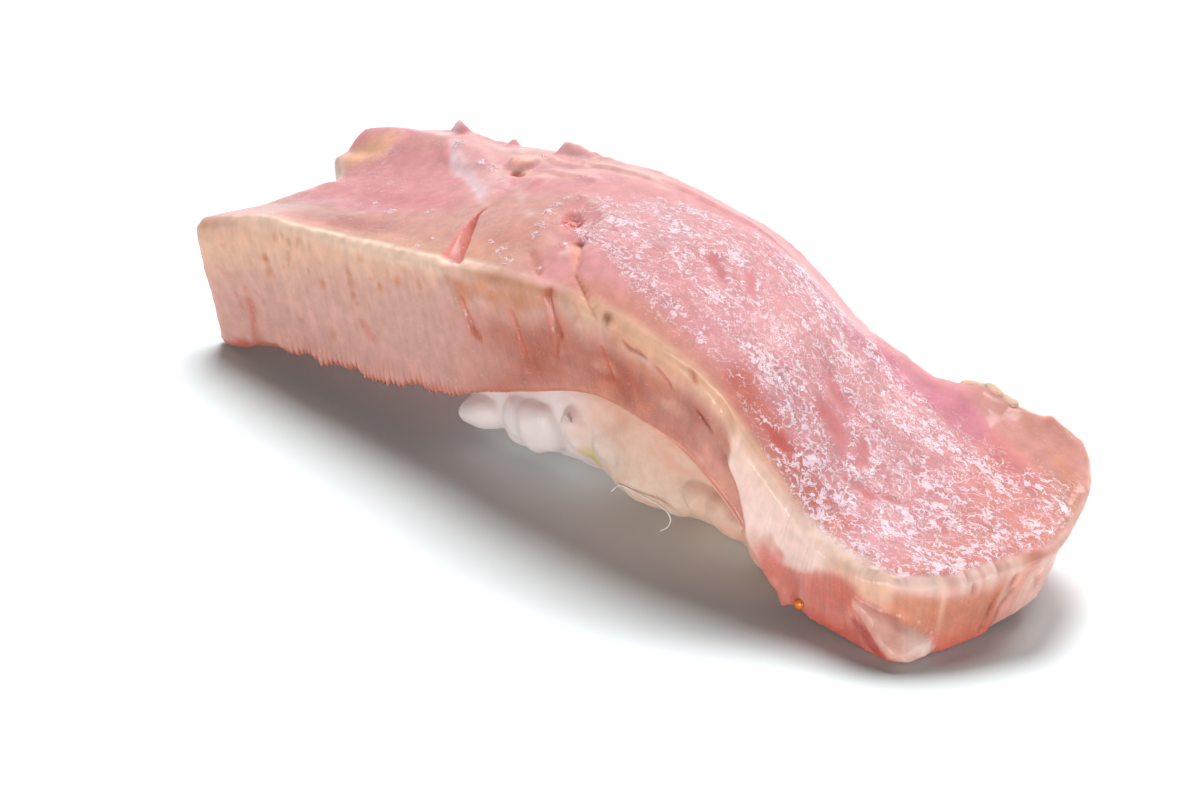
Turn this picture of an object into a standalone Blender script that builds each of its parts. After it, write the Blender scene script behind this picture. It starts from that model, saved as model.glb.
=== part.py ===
"""Albacore tuna nigiri: a thick slice of pale raw tuna draped over a small pad of pressed rice.

The slice runs along X, its long cut face looks to -Y and +Z is up. Dimensions are in millimetres,
and MM turns them into metres.
"""

import math
import random

import bmesh
import bpy
import numpy as np
from mathutils import Matrix, Vector
from mathutils.bvhtree import BVHTree

MM = 0.001

# Stations along the slice, from its drooping left end to the broad tongue at the right
STATION_X = (-46.8, -39.5, -29.5, -19.0, -8.0, 3.0, 11.0, 17.5, 24.0, 31.0, 37.2)
UNDERSIDE_NEAR = (0.1, 2.0, 3.6, 5.8, 10.0, 13.6, 12.2, 8.4, 1.8, 0.3, 0.1)
UNDERSIDE_FAR = (2.2, 5.2, 8.0, 10.6, 13.0, 13.2, 10.2, 6.8, 5.4, 5.0, 4.6)
THICKNESS_NEAR = (12.9, 13.6, 13.6, 13.1, 11.2, 8.1, 7.5, 6.4, 8.2, 8.3, 8.2)
THICKNESS_FAR = (12.2, 12.2, 11.1, 10.4, 9.4, 7.8, 6.8, 6.4, 8.0, 7.6, 6.2)
CROWN = (-1.2, -1.7, -0.7, 1.2, 2.6, 3.4, 3.2, 2.4, 1.4, 0.8, 0.6)
FAR_EDGE_Y = (15.4, 16.2, 16.2, 16.2, 16.2, 16.2, 16.0, 16.2, 18.0, 19.6, 20.2)

# Section of the slice across its length
NEAR_EDGE_Y = -7.0
NEAR_FOOT_Y = -8.2
FAR_TUCK = 2.2  # how far the underside stays inside the far edge
LEAN_SHARE = 0.8  # how much of the bend tips the cut face along with it
SLOPE_STEP = 1.5
TUCK_START_X = 10.0
TUCK_RUN = 15.0
TUCK_BEND = 1.4  # the far half of the right end lifts off the ground along this power

# Ends: how far they reach past the first and last station, at places across from near to far
END_ACROSS = (-1.0, -0.45, 0.05, 0.5, 1.0)
RIGHT_REACH_TOP = (-0.6, 3.2, 6.0, 4.4, -0.6)
RIGHT_REACH_FOOT = (0.4, 2.8, 4.0, 1.2, -2.8)
LEFT_REACH_TOP = (2.2, -0.6, -3.2, -0.8, -2.8)
LEFT_REACH_FOOT = (1.3, 0.6, -0.4, 0.0, -1.0)
RIGHT_REACH_SHARE = 0.2
LEFT_REACH_SHARE = 0.14
REACH_POWER = 1.5

# The curled lip along the far side of the left end
LIP_SHARE = 0.34
LIP_HEIGHT = 2.2
LIP_ACROSS = 0.62
LIP_WIDTH = 0.22
LIP_DROP = 1.2

# Rounding of the slice's edges
EDGE_RADIUS_LEFT = 0.9
EDGE_RADIUS_RIGHT = 1.9
EDGE_WIDENS = (0.5, 1.0)  # share of the length over which the radius grows to the right
EDGE_SPACING = 1.4
EDGE_SAMPLE = 0.5
FIRST_SAMPLE = 0.4  # first sample inside a graded edge, as a share of that edge
NOMINAL_WIDTH = 24.0
NOMINAL_THICKNESS = 10.0

# Shares of the slice over which relief in its top and in its cut face fades out
TOP_FADE = (0.55, 1.0)
FACE_FADE = (-1.0, -0.6)

# Relief in the top: place along X, place across, depth, half length, half width, turn in degrees
TOP_RELIEF = (
    (-16.1, -2.4, 2.1, 4.2, 1.35, -56.0),  # slit left of the crown
    (-7.4, 1.4, 1.9, 1.7, 1.2, -45.0),  # round pit on the crown
    (-3.6, -3.4, 1.3, 2.6, 0.8, -80.0),  # fold that runs from the pit to the near edge
    (-24.6, 10.4, 0.9, 1.8, 0.7, 15.0),  # small tunnel under a flake
    (5.2, 2.7, 0.6, 3.0, 1.4, -30.0),  # smooth hollows on the right flank
    (16.9, 3.9, 0.8, 4.0, 1.6, -30.0),
    (21.5, -1.0, 0.5, 4.0, 2.2, -30.0),
    (25.0, 3.6, 1.0, 12.0, 2.4, -28.0),  # valley down the middle of the tongue
    (31.0, 17.5, 1.1, 6.0, 2.2, 8.0),  # step down to the thin far flange
)
# Flakes that stand up along the far edge: place along X, height, half width
FAR_FLAKES = (
    (-35.8, 1.9, 1.1),
    (-27.9, 0.6, 0.8),
    (-22.2, 1.1, 1.3),
    (32.4, 0.8, 1.4),
)
FLAKE_REACH = 0.3  # share of the slice's width that a flake's foot takes

# Torn lower rim of the cut face
TEAR_LEFT_X = -43.0
TEAR_RIGHT_X = -19.5
TEAR_DEPTH = 0.9
TEAR_PITCH = 3.1
TEAR_UNEVEN = 0.4
TEAR_UNEVEN_PITCH = 3.7
TEAR_REACH = 0.35

# Wedge flap folded out at the near corner of the right end
FLAP_X = 35.4
FLAP_RAISE = 0.9
FLAP_HALF_WIDTH = 2.2
FLAP_FADE = (0.3, 0.8)

# Sampling of the slice's surface: cells in each span of its length, finer where the pits are
SLICE_SPANS = ((-20.0, 18), (0.0, 19), (37.2, 25))
CELLS_ACROSS = 21
CELLS_UP = 6

# Rice pad
RICE_GAP = 0.4
RICE_LEFT = -19.4
RICE_RIGHT = 22.5
RICE_NEAR = -2.9
RICE_FAR = 15.6
RICE_CELLS = (17, 9, 5)
RICE_ROUNDING = 2.6
RICE_BULGE = 1.0
RICE_SAG = 0.8  # depth of the broad lumps in the pad's side
RICE_LUMP = (15.0, 30.0, 20.0)  # length of the lumps along X, Y and Z
RICE_HEIGHT = 10.0

# One cooked grain
GRAIN_LENGTH = 5.4
GRAIN_WIDTH = 2.5
GRAIN_DEPTH = 2.1
GRAIN_SIDES = 5
GRAIN_RINGS = (-0.62, 0.0, 0.62)
GRAIN_COUNT = 96
GRAIN_SCALES = (0.85, 1.08)
GRAIN_CHOICES = 12  # random places from which each grain takes the one farthest from the others
GRAIN_PROUD = 0.35
GRAIN_SIDE_SLOPE = 0.75  # steepest upward normal of the pad's faces that carry grains
GRAIN_TRIES = 5
GRAIN_DRAW_IN = 0.2
GRAIN_LOWER = 0.5
GRAIN_SHORTER = 0.88
GRAIN_CLEARANCE = 0.35
GRAIN_FLOOR = 0.4
# Grains on the far shoulder that show past the slice: centre X, Y, Z and heading in degrees
SHOULDER_GRAINS = (
    (19.4, 17.4, 6.6, 15.0),
    (22.6, 17.2, 5.6, -25.0),
    (16.0, 17.0, 7.2, 40.0),
)
SHOULDER_OUTWARD = (0.0, 1.0, 0.6)
RICE_SEED = 41

TUNA_COLOUR = (0.80, 0.42, 0.39, 1.0)
TUNA_ROUGHNESS = 0.35
RICE_COLOUR = (0.80, 0.73, 0.62, 1.0)
RICE_ROUGHNESS = 0.5


def smooth_through(xs, ys, x):
    """Values of a curve through the points (xs, ys) that never overshoots between two of them."""
    xs = np.asarray(xs, float)
    ys = np.asarray(ys, float)
    gaps = np.diff(xs)
    rises = np.diff(ys) / gaps
    slopes = np.zeros_like(ys)
    slopes[0] = rises[0]
    slopes[-1] = rises[-1]
    for i in range(1, len(xs) - 1):
        if rises[i - 1] * rises[i] > 0:
            left = 2 * gaps[i] + gaps[i - 1]
            right = gaps[i] + 2 * gaps[i - 1]
            slopes[i] = (left + right) / (left / rises[i - 1] + right / rises[i])
    i = np.clip(np.searchsorted(xs, x) - 1, 0, len(gaps) - 1)
    u = (x - xs[i]) / gaps[i]
    start = (1 + 2 * u) * (1 - u) ** 2 * ys[i] + u * (1 - u) ** 2 * gaps[i] * slopes[i]
    end = u * u * (3 - 2 * u) * ys[i + 1] + u * u * (u - 1) * gaps[i] * slopes[i + 1]
    return start + end


def ease(low, high, value):
    """Smooth step from 0 at low to 1 at high."""
    u = np.clip((value - low) / (high - low), 0.0, 1.0)
    return u * u * (3 - 2 * u)


def underside(x, share):
    """Height of the slice's underside at x, with share from 0 at the near edge to 1 at the far one."""
    near = smooth_through(STATION_X, UNDERSIDE_NEAR, x)
    far = smooth_through(STATION_X, UNDERSIDE_FAR, x)
    bend = 1 + TUCK_BEND * np.clip((x - TUCK_START_X) / TUCK_RUN, 0, 1)
    return near + (far - near) * share**bend


def lean_angle(x):
    """Angle by which the slice's thickness tips with the bend of its underside."""
    before = np.maximum(x - SLOPE_STEP, STATION_X[0])
    after = np.minimum(x + SLOPE_STEP, STATION_X[-1])
    return LEAN_SHARE * np.arctan((underside(after, 0.5) - underside(before, 0.5)) / (after - before))


def end_reach(s, t, h):
    """How far the two ends stand out past the first and last station."""
    right = np.clip(1 - (1 - s) / RIGHT_REACH_SHARE, 0, 1) ** REACH_POWER
    left = np.clip(1 - s / LEFT_REACH_SHARE, 0, 1) ** REACH_POWER
    right_top = smooth_through(END_ACROSS, RIGHT_REACH_TOP, t)
    right_foot = smooth_through(END_ACROSS, RIGHT_REACH_FOOT, t)
    left_top = smooth_through(END_ACROSS, LEFT_REACH_TOP, t)
    left_foot = smooth_through(END_ACROSS, LEFT_REACH_FOOT, t)
    return right * (right_foot * (1 - h) + right_top * h) - left * (left_foot * (1 - h) + left_top * h)


def top_relief(x, y):
    """Depth of the pits, folds and hollows in the top."""
    depth = np.zeros_like(x)
    for along, across, deep, half_length, half_width, turn in TOP_RELIEF:
        c = math.cos(math.radians(turn))
        s = math.sin(math.radians(turn))
        u = ((x - along) * c + (y - across) * s) / half_length
        v = (-(x - along) * s + (y - across) * c) / half_width
        depth += deep * np.exp(-(u * u + v * v))
    return depth


def far_flakes(x, t):
    """Height of the flakes that stand up along the far edge."""
    rise = np.zeros_like(x)
    for along, height, half_width in FAR_FLAKES:
        rise += height * np.exp(-(((x - along) / half_width) ** 2))
    return rise * ease(1 - FLAKE_REACH, 1.0, t)


def torn_rim(x, h):
    """How far the torn lower rim of the cut face is notched upwards."""
    begun = ease(TEAR_LEFT_X, TEAR_LEFT_X + TEAR_PITCH, x)
    ended = ease(TEAR_RIGHT_X, TEAR_RIGHT_X + TEAR_PITCH, x)
    uneven = 1 - TEAR_UNEVEN + TEAR_UNEVEN * np.sin(2 * math.pi * x / TEAR_UNEVEN_PITCH)
    wave = np.abs(np.sin(math.pi * x / TEAR_PITCH)) * uneven
    return TEAR_DEPTH * begun * (1 - ended) * wave * (1 - ease(0.0, TEAR_REACH, h))


def slice_point(s, t, h):
    """The slice's surface: s runs along it, t from -1 near to 1 far, h from 0 underneath to 1 on top."""
    length = STATION_X[-1] - STATION_X[0]
    x = STATION_X[0] + length * s
    share = (t + 1) / 2
    near = smooth_through(STATION_X, THICKNESS_NEAR, x)
    far = smooth_through(STATION_X, THICKNESS_FAR, x)
    crown = smooth_through(STATION_X, CROWN, x)
    thickness = near * (1 - share) + far * share + crown * (1 - t * t)
    lean = lean_angle(x)
    on_top = ease(*TOP_FADE, h)
    on_face = 1 - ease(*FACE_FADE, t)

    near_y = NEAR_FOOT_Y * (1 - h) + NEAR_EDGE_Y * h
    far_y = smooth_through(STATION_X, FAR_EDGE_Y, x) - FAR_TUCK * (1 - h)
    px = x - np.sin(lean) * thickness * h + end_reach(s, t, h)
    py = near_y * (1 - share) + far_y * share
    pz = underside(x, share) + np.cos(lean) * thickness * h

    lip = np.clip(1 - s / LIP_SHARE, 0, 1) * h
    pz += lip * LIP_HEIGHT * np.exp(-(((t - LIP_ACROSS) / LIP_WIDTH) ** 2))
    pz -= lip * LIP_DROP * np.clip((t - LIP_ACROSS) / (1 - LIP_ACROSS), 0, 1) ** 2
    pz += on_top * (far_flakes(x, t) - top_relief(x, py))
    pz += on_face * torn_rim(x, h)
    flap = on_face * (1 - ease(*FLAP_FADE, h))
    py -= FLAP_RAISE * flap * np.exp(-(((x - FLAP_X) / FLAP_HALF_WIDTH) ** 2))
    return np.stack([px, py, pz], axis=-1)


def rounded(s, t, h, size, radius):
    """Moves places on a box's surface inwards at its edges, so that these are round."""
    half = np.asarray(size, float) / 2
    place = np.stack([(2 * s - 1) * half[0], t * half[1], (2 * h - 1) * half[2]], axis=-1)
    reach = half - np.asarray(radius)[..., None]
    inner = np.clip(place, -reach, reach)
    out = place - inner
    far = np.max(np.abs(out), axis=-1, keepdims=True)
    long = np.linalg.norm(out, axis=-1, keepdims=True)
    place = inner + out * np.where(long > 0, far / np.maximum(long, 1e-9), 1.0)
    return (place[..., 0] / half[0] + 1) / 2, place[..., 1] / half[1], (place[..., 2] / half[2] + 1) / 2


def edge_graded(cells, edge):
    """Sample places from 0 to 1 that lie closer together at both ends."""
    first = FIRST_SAMPLE * edge
    middle = np.linspace(edge, 1 - edge, cells - 3)
    return np.concatenate([[0.0, first], middle, [1 - first, 1.0]])


def box_shell(samples):
    """Grid places and quads over the whole surface of a box, closed, with the quads facing out."""
    cells = [len(line) - 1 for line in samples]
    index = {}
    places = []

    def corner(i, j, k):
        key = (i, j, k)
        if key not in index:
            index[key] = len(places)
            places.append((samples[0][i], samples[1][j], samples[2][k]))
        return index[key]

    quads = []
    for axis in range(3):
        u = (axis + 1) % 3
        v = (axis + 2) % 3
        for side in (0, cells[axis]):
            for a in range(cells[u]):
                for b in range(cells[v]):
                    loop = []
                    for da, db in ((0, 0), (1, 0), (1, 1), (0, 1)):
                        key = [0, 0, 0]
                        key[axis] = side
                        key[u] = a + da
                        key[v] = b + db
                        loop.append(corner(*key))
                    quads.append(loop if side else loop[::-1])
    return np.array(places), quads


def new_object(name, points, faces, material):
    """A named object of points in millimetres and faces, with its material."""
    mesh = bpy.data.meshes.new(name)
    mesh.from_pydata([tuple(p) for p in np.asarray(points) * MM], [], faces)
    mesh.materials.append(material)
    mesh.shade_smooth()
    made = bpy.data.objects.new(name, mesh)
    bpy.context.scene.collection.objects.link(made)
    return made


def food_material(name, colour, roughness):
    material = bpy.data.materials.new(name)
    material.use_nodes = True
    shader = material.node_tree.nodes["Principled BSDF"]
    shader.inputs["Base Color"].default_value = colour
    shader.inputs["Roughness"].default_value = roughness
    shader.inputs["Metallic"].default_value = 0.0
    return material


def slice_samples():
    """Sample places along, across and up the slice, closer together at its edges and pits."""
    length = STATION_X[-1] - STATION_X[0]
    places = [STATION_X[0]]
    for end, cells in SLICE_SPANS:
        places.extend(np.linspace(places[-1], end, cells + 1)[1:])
    along = (np.array(places) - STATION_X[0]) / length
    along = np.insert(along, [1, len(along) - 1], [EDGE_SAMPLE / length, 1 - EDGE_SAMPLE / length])
    across = edge_graded(CELLS_ACROSS, EDGE_SPACING / NOMINAL_WIDTH)
    up = edge_graded(CELLS_UP, EDGE_SPACING / NOMINAL_THICKNESS)
    return along, across, up


def make_fish_slice():
    """The slice of tuna, one closed solid."""
    length = STATION_X[-1] - STATION_X[0]
    places, quads = box_shell(slice_samples())
    radius = EDGE_RADIUS_LEFT + (EDGE_RADIUS_RIGHT - EDGE_RADIUS_LEFT) * ease(*EDGE_WIDENS, places[:, 0])
    size = (length, NOMINAL_WIDTH, NOMINAL_THICKNESS)
    s, t, h = rounded(places[:, 0], places[:, 1] * 2 - 1, places[:, 2], size, radius)
    material = food_material("tuna_flesh", TUNA_COLOUR, TUNA_ROUGHNESS)
    return new_object("fish_slice", slice_point(s, t, h), quads, material)


def lumps(x, y, z):
    """Broad uneven bumps of the pressed rice."""
    turns = [2 * math.pi * value / reach for value, reach in zip((x, y, z), RICE_LUMP)]
    return RICE_SAG * np.sin(turns[0]) * np.cos(turns[1] + turns[2])


def rice_core():
    """The pressed pad under the slice, without loose grains."""
    size = (RICE_RIGHT - RICE_LEFT, RICE_FAR - RICE_NEAR, RICE_HEIGHT)
    samples = [edge_graded(count, RICE_ROUNDING / reach) for count, reach in zip(RICE_CELLS, size)]
    places, quads = box_shell(samples)
    radius = np.full(len(places), RICE_ROUNDING)
    s, t, h = rounded(places[:, 0], places[:, 1] * 2 - 1, places[:, 2], size, radius)
    x = RICE_LEFT + size[0] * s
    y = (RICE_NEAR + RICE_FAR) / 2 + t * size[1] / 2
    width = smooth_through(STATION_X, FAR_EDGE_Y, x) - FAR_TUCK - NEAR_FOOT_Y
    share = np.clip((y - NEAR_FOOT_Y) / width, 0, 1)
    top = underside(x, share) - RICE_GAP
    z = top * h
    side = 4 * h * (1 - h)
    y += np.sign(t) * np.abs(t) ** 3 * (RICE_BULGE * side + lumps(x, y, z) * side)
    return np.stack([x, y, z], axis=-1), quads


def grain_mesh(length, width, depth):
    """One grain: a blunt capsule about its own X axis."""
    points = [Vector((-length / 2, 0, 0))]
    for place in GRAIN_RINGS:
        swell = math.sqrt(1 - place * place)
        for k in range(GRAIN_SIDES):
            angle = 2 * math.pi * k / GRAIN_SIDES
            y = width / 2 * swell * math.cos(angle)
            z = depth / 2 * swell * math.sin(angle)
            points.append(Vector((place * length / 2, y, z)))
    points.append(Vector((length / 2, 0, 0)))
    last = len(points) - 1
    faces = []
    for k in range(GRAIN_SIDES):
        after = (k + 1) % GRAIN_SIDES
        faces.append((0, 1 + after, 1 + k))
        for ring in range(len(GRAIN_RINGS) - 1):
            low = 1 + ring * GRAIN_SIDES
            high = low + GRAIN_SIDES
            faces.append((low + k, low + after, high + after, high + k))
        top = 1 + (len(GRAIN_RINGS) - 1) * GRAIN_SIDES
        faces.append((top + k, top + after, last))
    return points, faces


def clear_of(tree, points):
    """True where every point lies outside the solid of the tree by the grains' clearance."""
    for point in points:
        nearest, normal, _, distance = tree.find_nearest(point)
        if distance < GRAIN_CLEARANCE or (point - nearest).dot(normal) < 0:
            return False
    return True


def seat_grain(tree, centre, outward, heading, scale):
    """Points of one grain laid on the pad, drawn in and shortened until it clears the slice, or None."""
    along = outward.orthogonal().normalized()
    along.rotate(Matrix.Rotation(heading, 3, outward))
    side = outward.cross(along)
    turn = Matrix((along, side, outward)).transposed()
    length = GRAIN_LENGTH * scale
    for _ in range(GRAIN_TRIES):
        points, faces = grain_mesh(length, GRAIN_WIDTH * scale, GRAIN_DEPTH * scale)
        placed = [turn @ point + centre for point in points]
        if min(point.z for point in placed) > GRAIN_FLOOR and clear_of(tree, placed):
            return placed, faces
        centre = centre - outward * GRAIN_DRAW_IN
        centre.z -= GRAIN_LOWER if centre.z > GRAIN_WIDTH else -GRAIN_LOWER
        length *= GRAIN_SHORTER
    return None


def spread_seats(core, rng):
    """Places on the pad's visible sides, spread evenly: each new one lies far from those before."""
    faces = [f for f in core.faces if abs(f.normal.z) < GRAIN_SIDE_SLOPE]
    weights = [f.calc_area() for f in faces]
    chosen = []
    for _ in range(GRAIN_COUNT):
        best = None
        for face in rng.choices(faces, weights, k=GRAIN_CHOICES):
            corners = [v.co for v in face.verts]
            u = rng.random()
            v = rng.random()
            point = corners[0].lerp(corners[1], u).lerp(corners[3].lerp(corners[2], u), v)
            gap = min(((point - other[0]).length for other in chosen), default=math.inf)
            if best is None or gap > best[0]:
                best = (gap, point, face.normal.copy())
        chosen.append((best[1], best[2]))
    return chosen


def make_rice_pad(fish):
    """The pad with the grains that show fused to it, one closed solid on a flat foot."""
    rng = random.Random(RICE_SEED)
    material = food_material("rice", RICE_COLOUR, RICE_ROUGHNESS)
    points, quads = rice_core()
    pad = new_object("rice_pad", points, quads, material)

    tree = BVHTree.FromPolygons(
        [v.co / MM for v in fish.data.vertices], [list(p.vertices) for p in fish.data.polygons]
    )
    core = bmesh.new()
    core.from_mesh(pad.data)
    core.transform(Matrix.Scale(1 / MM, 4))
    core.normal_update()
    seats = [(point, normal, rng.uniform(0, math.pi)) for point, normal in spread_seats(core, rng)]
    core.free()
    for x, y, z, heading in SHOULDER_GRAINS:
        seats.append((Vector((x, y, z)), Vector(SHOULDER_OUTWARD).normalized(), math.radians(heading)))

    grains = bpy.data.collections.new("grains")
    bpy.context.scene.collection.children.link(grains)
    for point, outward, heading in seats:
        scale = rng.uniform(*GRAIN_SCALES)
        seated = seat_grain(tree, point + outward * GRAIN_PROUD, outward, heading, scale)
        if seated is None:
            continue
        grain = new_object("grain", [tuple(p) for p in seated[0]], seated[1], material)
        bpy.context.scene.collection.objects.unlink(grain)
        grains.objects.link(grain)
    fuse(pad, grains)
    keep_largest_body(pad.data)
    return pad


def fuse(target, collection):
    """Joins a collection's objects to the target in one Boolean union, then removes them."""
    union = target.modifiers.new("union", "BOOLEAN")
    union.operation = "UNION"
    union.operand_type = "COLLECTION"
    union.collection = collection
    union.solver = "EXACT"
    evaluated = target.evaluated_get(bpy.context.evaluated_depsgraph_get())
    joined = bpy.data.meshes.new_from_object(evaluated)
    target.modifiers.clear()
    target.data = joined
    for piece in list(collection.objects):
        bpy.data.objects.remove(piece)
    bpy.data.collections.remove(collection)


def keep_largest_body(mesh):
    """Drops loose scraps and the skins of sealed hollows, which fills them."""
    body = bmesh.new()
    body.from_mesh(mesh)
    waiting = set(body.verts)
    groups = []
    while waiting:
        front = [waiting.pop()]
        group = list(front)
        while front:
            near = [e.other_vert(v) for v in front for e in v.link_edges]
            front = [v for v in dict.fromkeys(near) if v in waiting]
            waiting.difference_update(front)
            group.extend(front)
        groups.append(group)
    groups.sort(key=len)
    bmesh.ops.delete(body, geom=[v for group in groups[:-1] for v in group], context="VERTS")
    body.to_mesh(mesh)
    body.free()


def stand_on_origin(objects):
    """Moves the meshes so that the whole stands on the origin, centred over it."""
    corners = np.array([v.co for made in objects for v in made.data.vertices])
    low = corners.min(axis=0)
    high = corners.max(axis=0)
    shift = Matrix.Translation((-(low[0] + high[0]) / 2, -(low[1] + high[1]) / 2, -low[2]))
    for made in objects:
        made.data.transform(shift)


def main():
    for old in list(bpy.data.objects):
        bpy.data.objects.remove(old)
    fish = make_fish_slice()
    pad = make_rice_pad(fish)
    stand_on_origin([fish, pad])


main()
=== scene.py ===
# %% [markdown]
# # Albacore tuna nigiri
# A thick slice of pale raw albacore tuna lies over a small pad of pressed rice. The slice is one
# piece of flesh, and the rice shows only below it, so most of this lesson is about one surface:
# how to make it wet, fibrous and soft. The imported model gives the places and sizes. Here both of
# its solids are replaced by finer pieces of the same form.

import math
import random

import bpy
import numpy as np
from mathutils import Euler, Matrix, Vector
from mathutils.bvhtree import BVHTree


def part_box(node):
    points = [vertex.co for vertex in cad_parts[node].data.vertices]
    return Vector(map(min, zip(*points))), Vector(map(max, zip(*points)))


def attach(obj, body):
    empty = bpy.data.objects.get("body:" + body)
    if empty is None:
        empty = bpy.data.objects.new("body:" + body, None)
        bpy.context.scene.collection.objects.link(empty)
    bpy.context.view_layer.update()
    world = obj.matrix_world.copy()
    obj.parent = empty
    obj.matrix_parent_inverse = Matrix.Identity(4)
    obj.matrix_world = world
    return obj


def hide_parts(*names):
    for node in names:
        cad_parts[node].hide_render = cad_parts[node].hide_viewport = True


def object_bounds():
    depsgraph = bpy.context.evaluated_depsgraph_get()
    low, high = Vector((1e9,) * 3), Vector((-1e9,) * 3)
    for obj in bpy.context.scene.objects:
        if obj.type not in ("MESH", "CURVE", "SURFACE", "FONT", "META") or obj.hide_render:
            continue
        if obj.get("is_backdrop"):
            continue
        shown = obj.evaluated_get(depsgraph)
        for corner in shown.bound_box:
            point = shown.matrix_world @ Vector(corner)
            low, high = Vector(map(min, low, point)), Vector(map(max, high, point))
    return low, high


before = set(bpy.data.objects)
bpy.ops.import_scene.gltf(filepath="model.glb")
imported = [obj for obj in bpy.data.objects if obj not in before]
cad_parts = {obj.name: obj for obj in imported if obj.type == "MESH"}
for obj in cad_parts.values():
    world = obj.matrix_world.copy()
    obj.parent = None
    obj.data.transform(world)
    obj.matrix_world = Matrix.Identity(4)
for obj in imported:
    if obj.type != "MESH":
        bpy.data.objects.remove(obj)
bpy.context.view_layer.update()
fish_low, fish_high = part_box("fish_slice")

# %% [markdown]
# ## Camera
# The photograph was taken with a long lens from the near right, 30 degrees above the table. A long
# lens keeps the two ends of the slice about the same size. The small shift moves the picture
# without turning the camera, so upright edges stay upright. A short lens from nearer would frame
# it as well, but draw the near end too large.

# %% Place the camera
MM = 0.001
SLAB_AT = np.array([4.367, -5.418, 0.0])  # where the slice's own drawing lies in the frame, in mm
CAMERA_TURN = math.radians(43)
CAMERA_TILT = math.radians(30)
CAMERA_AWAY = 450.0
AIM_HEIGHT = 10.0
LENS = 148.5
SENSOR_WIDTH = 36.0
PHOTO_WIDTH = 1200
SHIFT = (-40 / PHOTO_WIDTH, -8 / PHOTO_WIDTH)
CLIP = (0.01, 20.0)  # nearest and farthest that the camera sees, in metres


def towards(turn, tilt):
    """Direction from the object to a place at this turn from the front and this tilt above the table."""
    return Vector((math.sin(turn) * math.cos(tilt), -math.cos(turn) * math.cos(tilt), math.sin(tilt)))


aim = Vector((*SLAB_AT[:2], AIM_HEIGHT))
back = towards(CAMERA_TURN, CAMERA_TILT)
camera = bpy.data.objects.new("camera", bpy.data.cameras.new("camera"))
camera.data.lens = LENS
camera.data.sensor_width = SENSOR_WIDTH
camera.data.shift_x, camera.data.shift_y = SHIFT
camera.data.clip_start, camera.data.clip_end = CLIP
camera.location = (aim + back * CAMERA_AWAY) * MM
camera.rotation_euler = (-back).to_track_quat("-Z", "Y").to_euler()
bpy.context.scene.collection.objects.link(camera)
bpy.context.scene.camera = camera
print("camera at, mm:", [round(c * 1000) for c in camera.location])

# %% [markdown]
# ## Light and floor
# Food is lit softly and mostly from behind: light that comes over the object towards the camera
# makes wet surfaces glint. So a broad key light, like a hazy sun, stands behind and above. It is
# hidden from reflections, and two softboxes behind and at the side make the glints instead. Two
# low strips, in front and at the right, brighten the cut faces, and a faint tinted surround fills
# the shadows. A lamp behind alone would leave the near face dark. The floor is a wide sheet with
# a curved rise far behind, and it isn't part of the object.

# %% Light the table
def add_softbox(name, turn, tilt, away, size, power, colour=(1, 1, 1)):
    """A rectangular light that looks at the slice. Angles in degrees, lengths in metres."""
    lamp = bpy.data.lights.new(name, "AREA")
    lamp.shape = "RECTANGLE"
    lamp.size, lamp.size_y = size
    lamp.energy = power
    lamp.color = colour
    made = bpy.data.objects.new(name, lamp)
    out = towards(math.radians(turn), math.radians(tilt))
    made.location = aim * MM + out * away
    made.rotation_euler = (-out).to_track_quat("-Z", "Y").to_euler()
    bpy.context.scene.collection.objects.link(made)
    return made


add_softbox("softbox_behind", 168, 50, 0.60, (0.15, 0.15), 0.95)
add_softbox("softbox_side", 226, 30, 0.60, (0.20, 0.20), 0.25)
add_softbox("strip_front", 12, 4, 0.80, (0.60, 0.09), 4.0, (1.0, 0.98, 0.96))
add_softbox("strip_right", 86, 4, 0.80, (0.50, 0.09), 2.1, (1.0, 0.98, 0.96))

KEY_POWER = 3.9
KEY_SPREAD = math.radians(30)
KEY_FROM = (math.radians(220), math.radians(56))
SURROUND_TINT = (0.5, 1.0, 1.05, 1)
SURROUND_STRENGTH = 0.04
key = bpy.data.lights.new("key_light", "SUN")
key.energy = KEY_POWER
key.angle = KEY_SPREAD
key_light = bpy.data.objects.new("key_light", key)
key_light.rotation_euler = (-towards(*KEY_FROM)).to_track_quat("-Z", "Y").to_euler()
key_light.visible_glossy = False
bpy.context.scene.collection.objects.link(key_light)

world = bpy.data.worlds.new("surround")
world.use_nodes = True
glow = world.node_tree.nodes["Background"].inputs
glow["Color"].default_value = SURROUND_TINT
glow["Strength"].default_value = SURROUND_STRENGTH
bpy.context.scene.world = world
bpy.context.scene.view_settings.view_transform = "Standard"

# %% Helpers for materials
def feed(tree, socket, value):
    """Joins an input socket to another socket, or sets it to a value."""
    if isinstance(value, bpy.types.NodeSocket):
        tree.links.new(value, socket)
    else:
        socket.default_value = value


def feed_all(tree, node, inputs):
    """Feeds a node's inputs, which are given by name or number."""
    for name, value in inputs.items():
        feed(tree, node.inputs[name], value)


def add_node(tree, kind, inputs=None, **settings):
    """A node of this kind with its settings, its inputs set to values or joined to other sockets."""
    made = tree.nodes.new(kind)
    for name, value in settings.items():
        setattr(made, name, value)
    feed_all(tree, made, inputs or {})
    return made


def sum_of(tree, operation, *values):
    """A Math node over sockets or numbers."""
    return add_node(tree, "ShaderNodeMath", dict(enumerate(values)), operation=operation).outputs[0]


def vectors_of(tree, operation, inputs):
    """A Vector Math node over sockets or vectors."""
    return add_node(tree, "ShaderNodeVectorMath", inputs, operation=operation).outputs[0]


def noise_texture(tree, at, scale, detail, **others):
    """A noise texture read at a place."""
    inputs = {"Vector": at, "Scale": scale, "Detail": detail, **others}
    return add_node(tree, "ShaderNodeTexNoise", inputs).outputs


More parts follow.
